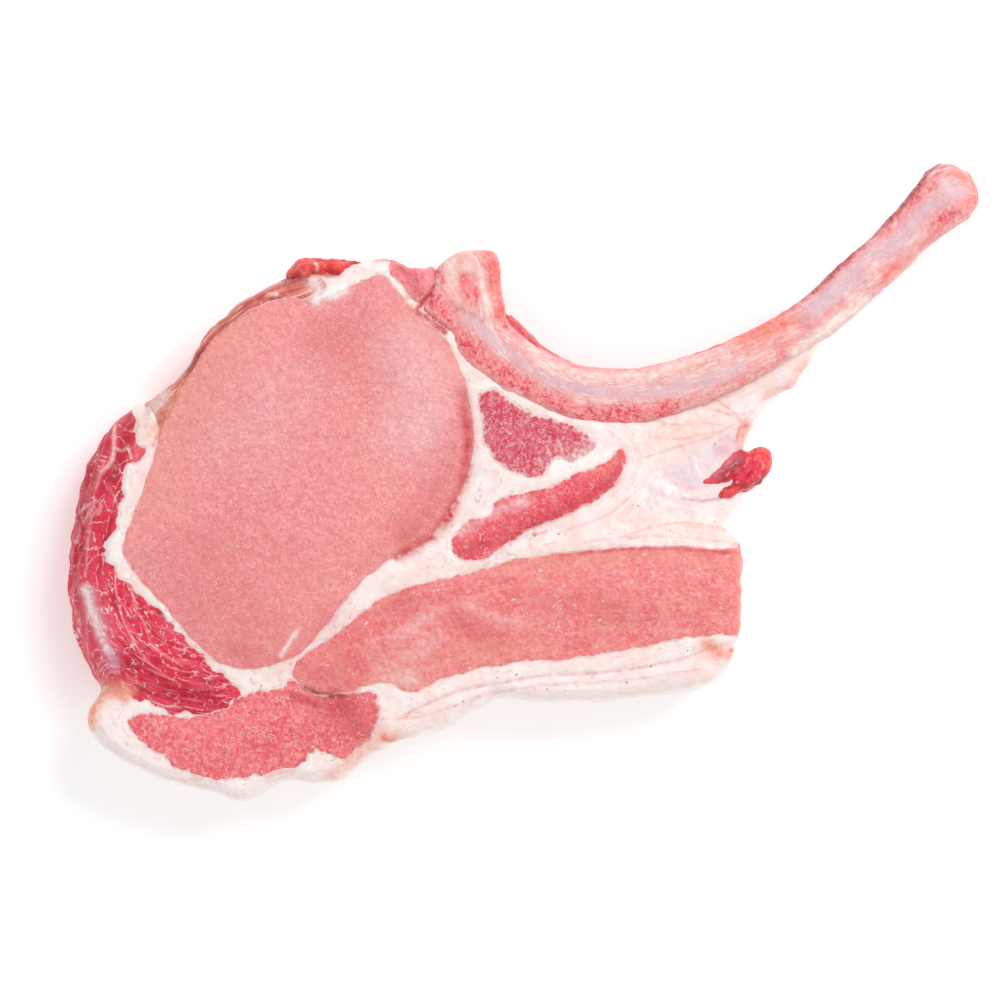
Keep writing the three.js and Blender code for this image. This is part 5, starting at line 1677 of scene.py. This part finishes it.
# small pale curls that stand out from the red, so the face looks cut and not moulded
tissue = soft_tissue("white_tissue_fibre", "#ffeceb", "#fad4d2")
scattered = {}
for seed, (name, dense) in enumerate(STRANDS.items()):
    own = triangles[labels == names.index(name)]
    clear = (depths[name][own].min(1) > OFF_SEAM) & (rib_away[own].min(1) > OFF_RIB)
    scattered[name] = grown(name + "_strands", upside, own[clear].tolist(), strands, {
        "Density": dense * 1e6, "Length": STRAND_LENGTH, "Thickness": STRAND_RADIUS, "Seed": seed,
        "Material": tissue,
    })

# %% Specks on the fat
SPECK_RADIUS = 0.00018  # metres
SPECKS = [
    (-62.6, -49.1), (31.4, 7.1), (2.6, -13.3), (-28.1, -56.5), (38.9, -40.7), (-67, -72.6),
    (33.6, 13.6), (-27.1, -52.3), (-6.5, -47.3), (2.4, -49.6), (5.5, -51.2), (-1.9, -46.4),
    (16.3, -46.9), (30.2, -44.4), (40.8, -35.2), (12.7, -49.3), (-14.4, -52.8), (24.5, -48.2),
    (-34.8, -54), (35, -12.2), (8.2, -12.8), (45.8, 8.9), (27.4, -6), (47.5, -10.1),
    (-46, -66.8), (-80.2, -52.9),
]


def speck_tree():
    """A flattened ball on each point, at a random turn and size."""
    tree, given, result = group_with("specks", [
        ("Radius", "Float"), ("Seed", "Int"), ("Material", "Material"),
    ])
    grain = add(tree, "GeometryNodeMeshIcoSphere", {
        "Radius": given.outputs["Radius"], "Subdivisions": 2,
    })
    size = add(tree, "FunctionNodeRandomValue", {
        "Min": (0.5, 0.5, 0.3), "Max": (1.7, 1.2, 0.5), "Seed": given.outputs["Seed"],
    }, data_type="FLOAT_VECTOR")
    turn = add(tree, "FunctionNodeRandomValue", {"Max": (0.0, 0.0, FULL_TURN)},
               data_type="FLOAT_VECTOR")
    grains = add(tree, "GeometryNodeInstanceOnPoints", {
        "Points": given.outputs["Geometry"], "Instance": grain, "Rotation": turn, "Scale": size,
    })
    grains = add(tree, "GeometryNodeRealizeInstances", {0: grains})
    grains = add(tree, "GeometryNodeSetMaterial", {
        "Geometry": grains, "Material": given.outputs["Material"],
    })
    tree.links.new(grains, result.inputs[0])
    return tree


on_face = finder(face)
spots = upside[[on_face.find((x, y, 0))[1] for x, y in SPECKS]]
# brown red dots, a few only: they make the fat look clean but not empty
clot = soft_tissue("dark_blood_speck", "#8c3a38", "#b4504c")
specks = grown("fat_specks", spots, [], speck_tree(), {
    "Radius": SPECK_RADIUS, "Seed": 3, "Material": clot,
})

# %% [markdown]
# ## Camera, light and floor
#
# The chop is seen from straight above, from about 1.4 m, so the view is almost flat. The light is a
# bright white surround with one large soft lamp from the upper right, which keeps the shadow pale
# and puts it at the lower left.

# %% Camera
LOOK_AT = (np.array([-5.76, -4.68]) - ORIGIN_IN_OUTLINES) / 1000
FRAME_WIDTH, FRAME_HEIGHT, DISTANCE = 0.240, 0.020, 1.4  # metres
SENSOR = 36  # mm
camera_data = bpy.data.cameras.new("camera")
camera_data.sensor_width = SENSOR
camera_data.lens = SENSOR * DISTANCE / FRAME_WIDTH
camera_data.clip_end = 10
camera = bpy.data.objects.new("camera", camera_data)
camera.location = (*LOOK_AT, FRAME_HEIGHT + DISTANCE)
bpy.context.collection.objects.link(camera)
bpy.context.scene.camera = camera
print("lens:", round(camera_data.lens), "mm")

# %% Light
SURROUND = 0.72
LAMP_SIZE, LAMP_WATTS, LAMP_PLACE = 0.9, 13, (0.75, 0.8, 1.3)  # metres
scene = bpy.context.scene
scene.view_settings.view_transform = "Standard"
world = bpy.data.worlds.new("surround")
scene.world = world
world.use_nodes = True
world.node_tree.nodes["Background"].inputs["Color"].default_value = (1, 1, 1, 1)
world.node_tree.nodes["Background"].inputs["Strength"].default_value = SURROUND

lamp_data = bpy.data.lights.new("soft_lamp", "AREA")
lamp_data.shape = "DISK"
lamp_data.size = LAMP_SIZE
lamp_data.energy = LAMP_WATTS
lamp = bpy.data.objects.new("soft_lamp", lamp_data)
lamp.location = LAMP_PLACE
lamp.rotation_euler = (-lamp.location).to_track_quat("-Z", "Y").to_euler()
bpy.context.collection.objects.link(lamp)
print("lamp", round(lamp.location.length, 2), "m from the chop")

# %% Floor
FLOOR_HALF, FLOOR_LOW, FLOOR_GLOW = 3.0, -0.0002, 0.215
ways = ((-1, -1), (1, -1), (1, 1), (-1, 1))
corners = [(x * FLOOR_HALF, y * FLOOR_HALF, FLOOR_LOW) for x, y in ways]
floor_mesh = bpy.data.meshes.new("floor")
floor_mesh.from_pydata(corners, [], [(0, 1, 2, 3)])
floor = bpy.data.objects.new("floor", floor_mesh)
bpy.context.collection.objects.link(floor)
# paper lit from below: it stays white to the edge and leaves only a faint shadow
paper, tree, place, _, lump = start_finish("lit_white_paper", 0.5, 2.0)
tone = patches(tree, place, linear("#fbfbfb"), [(60, 0.45, 0.6, 0.5, "#f9f9f9")])
bump = relief(tree, place, [(2, 0.01)])
end_finish(paper, tree, lump, tone, bump, rough=0.85, wet=0.0, glow=0.0)
shader = tree.nodes["Principled BSDF"]
shader.inputs["Emission Color"].default_value = (1, 1, 1, 1)
shader.inputs["Emission Strength"].default_value = FLOOR_GLOW
floor_mesh.materials.append(paper)
print("floor", 2 * FLOOR_HALF, "m wide")

# %% [markdown]
# ## Hand over to the frame
#
# Each piece gets its finish, rides on the chop's one body and stands for its node. The strands and
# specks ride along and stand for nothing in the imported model.

# %% Ride, replace, finish
for name, piece in pieces.items():
    piece.data.materials.append(finishes[name])
    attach(piece, "root")
    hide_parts(name)
for name, thing in scattered.items():
    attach(thing, "root")
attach(specks, "root")
print(sum(len(piece.data.polygons) for piece in pieces.values()), "faces in all")
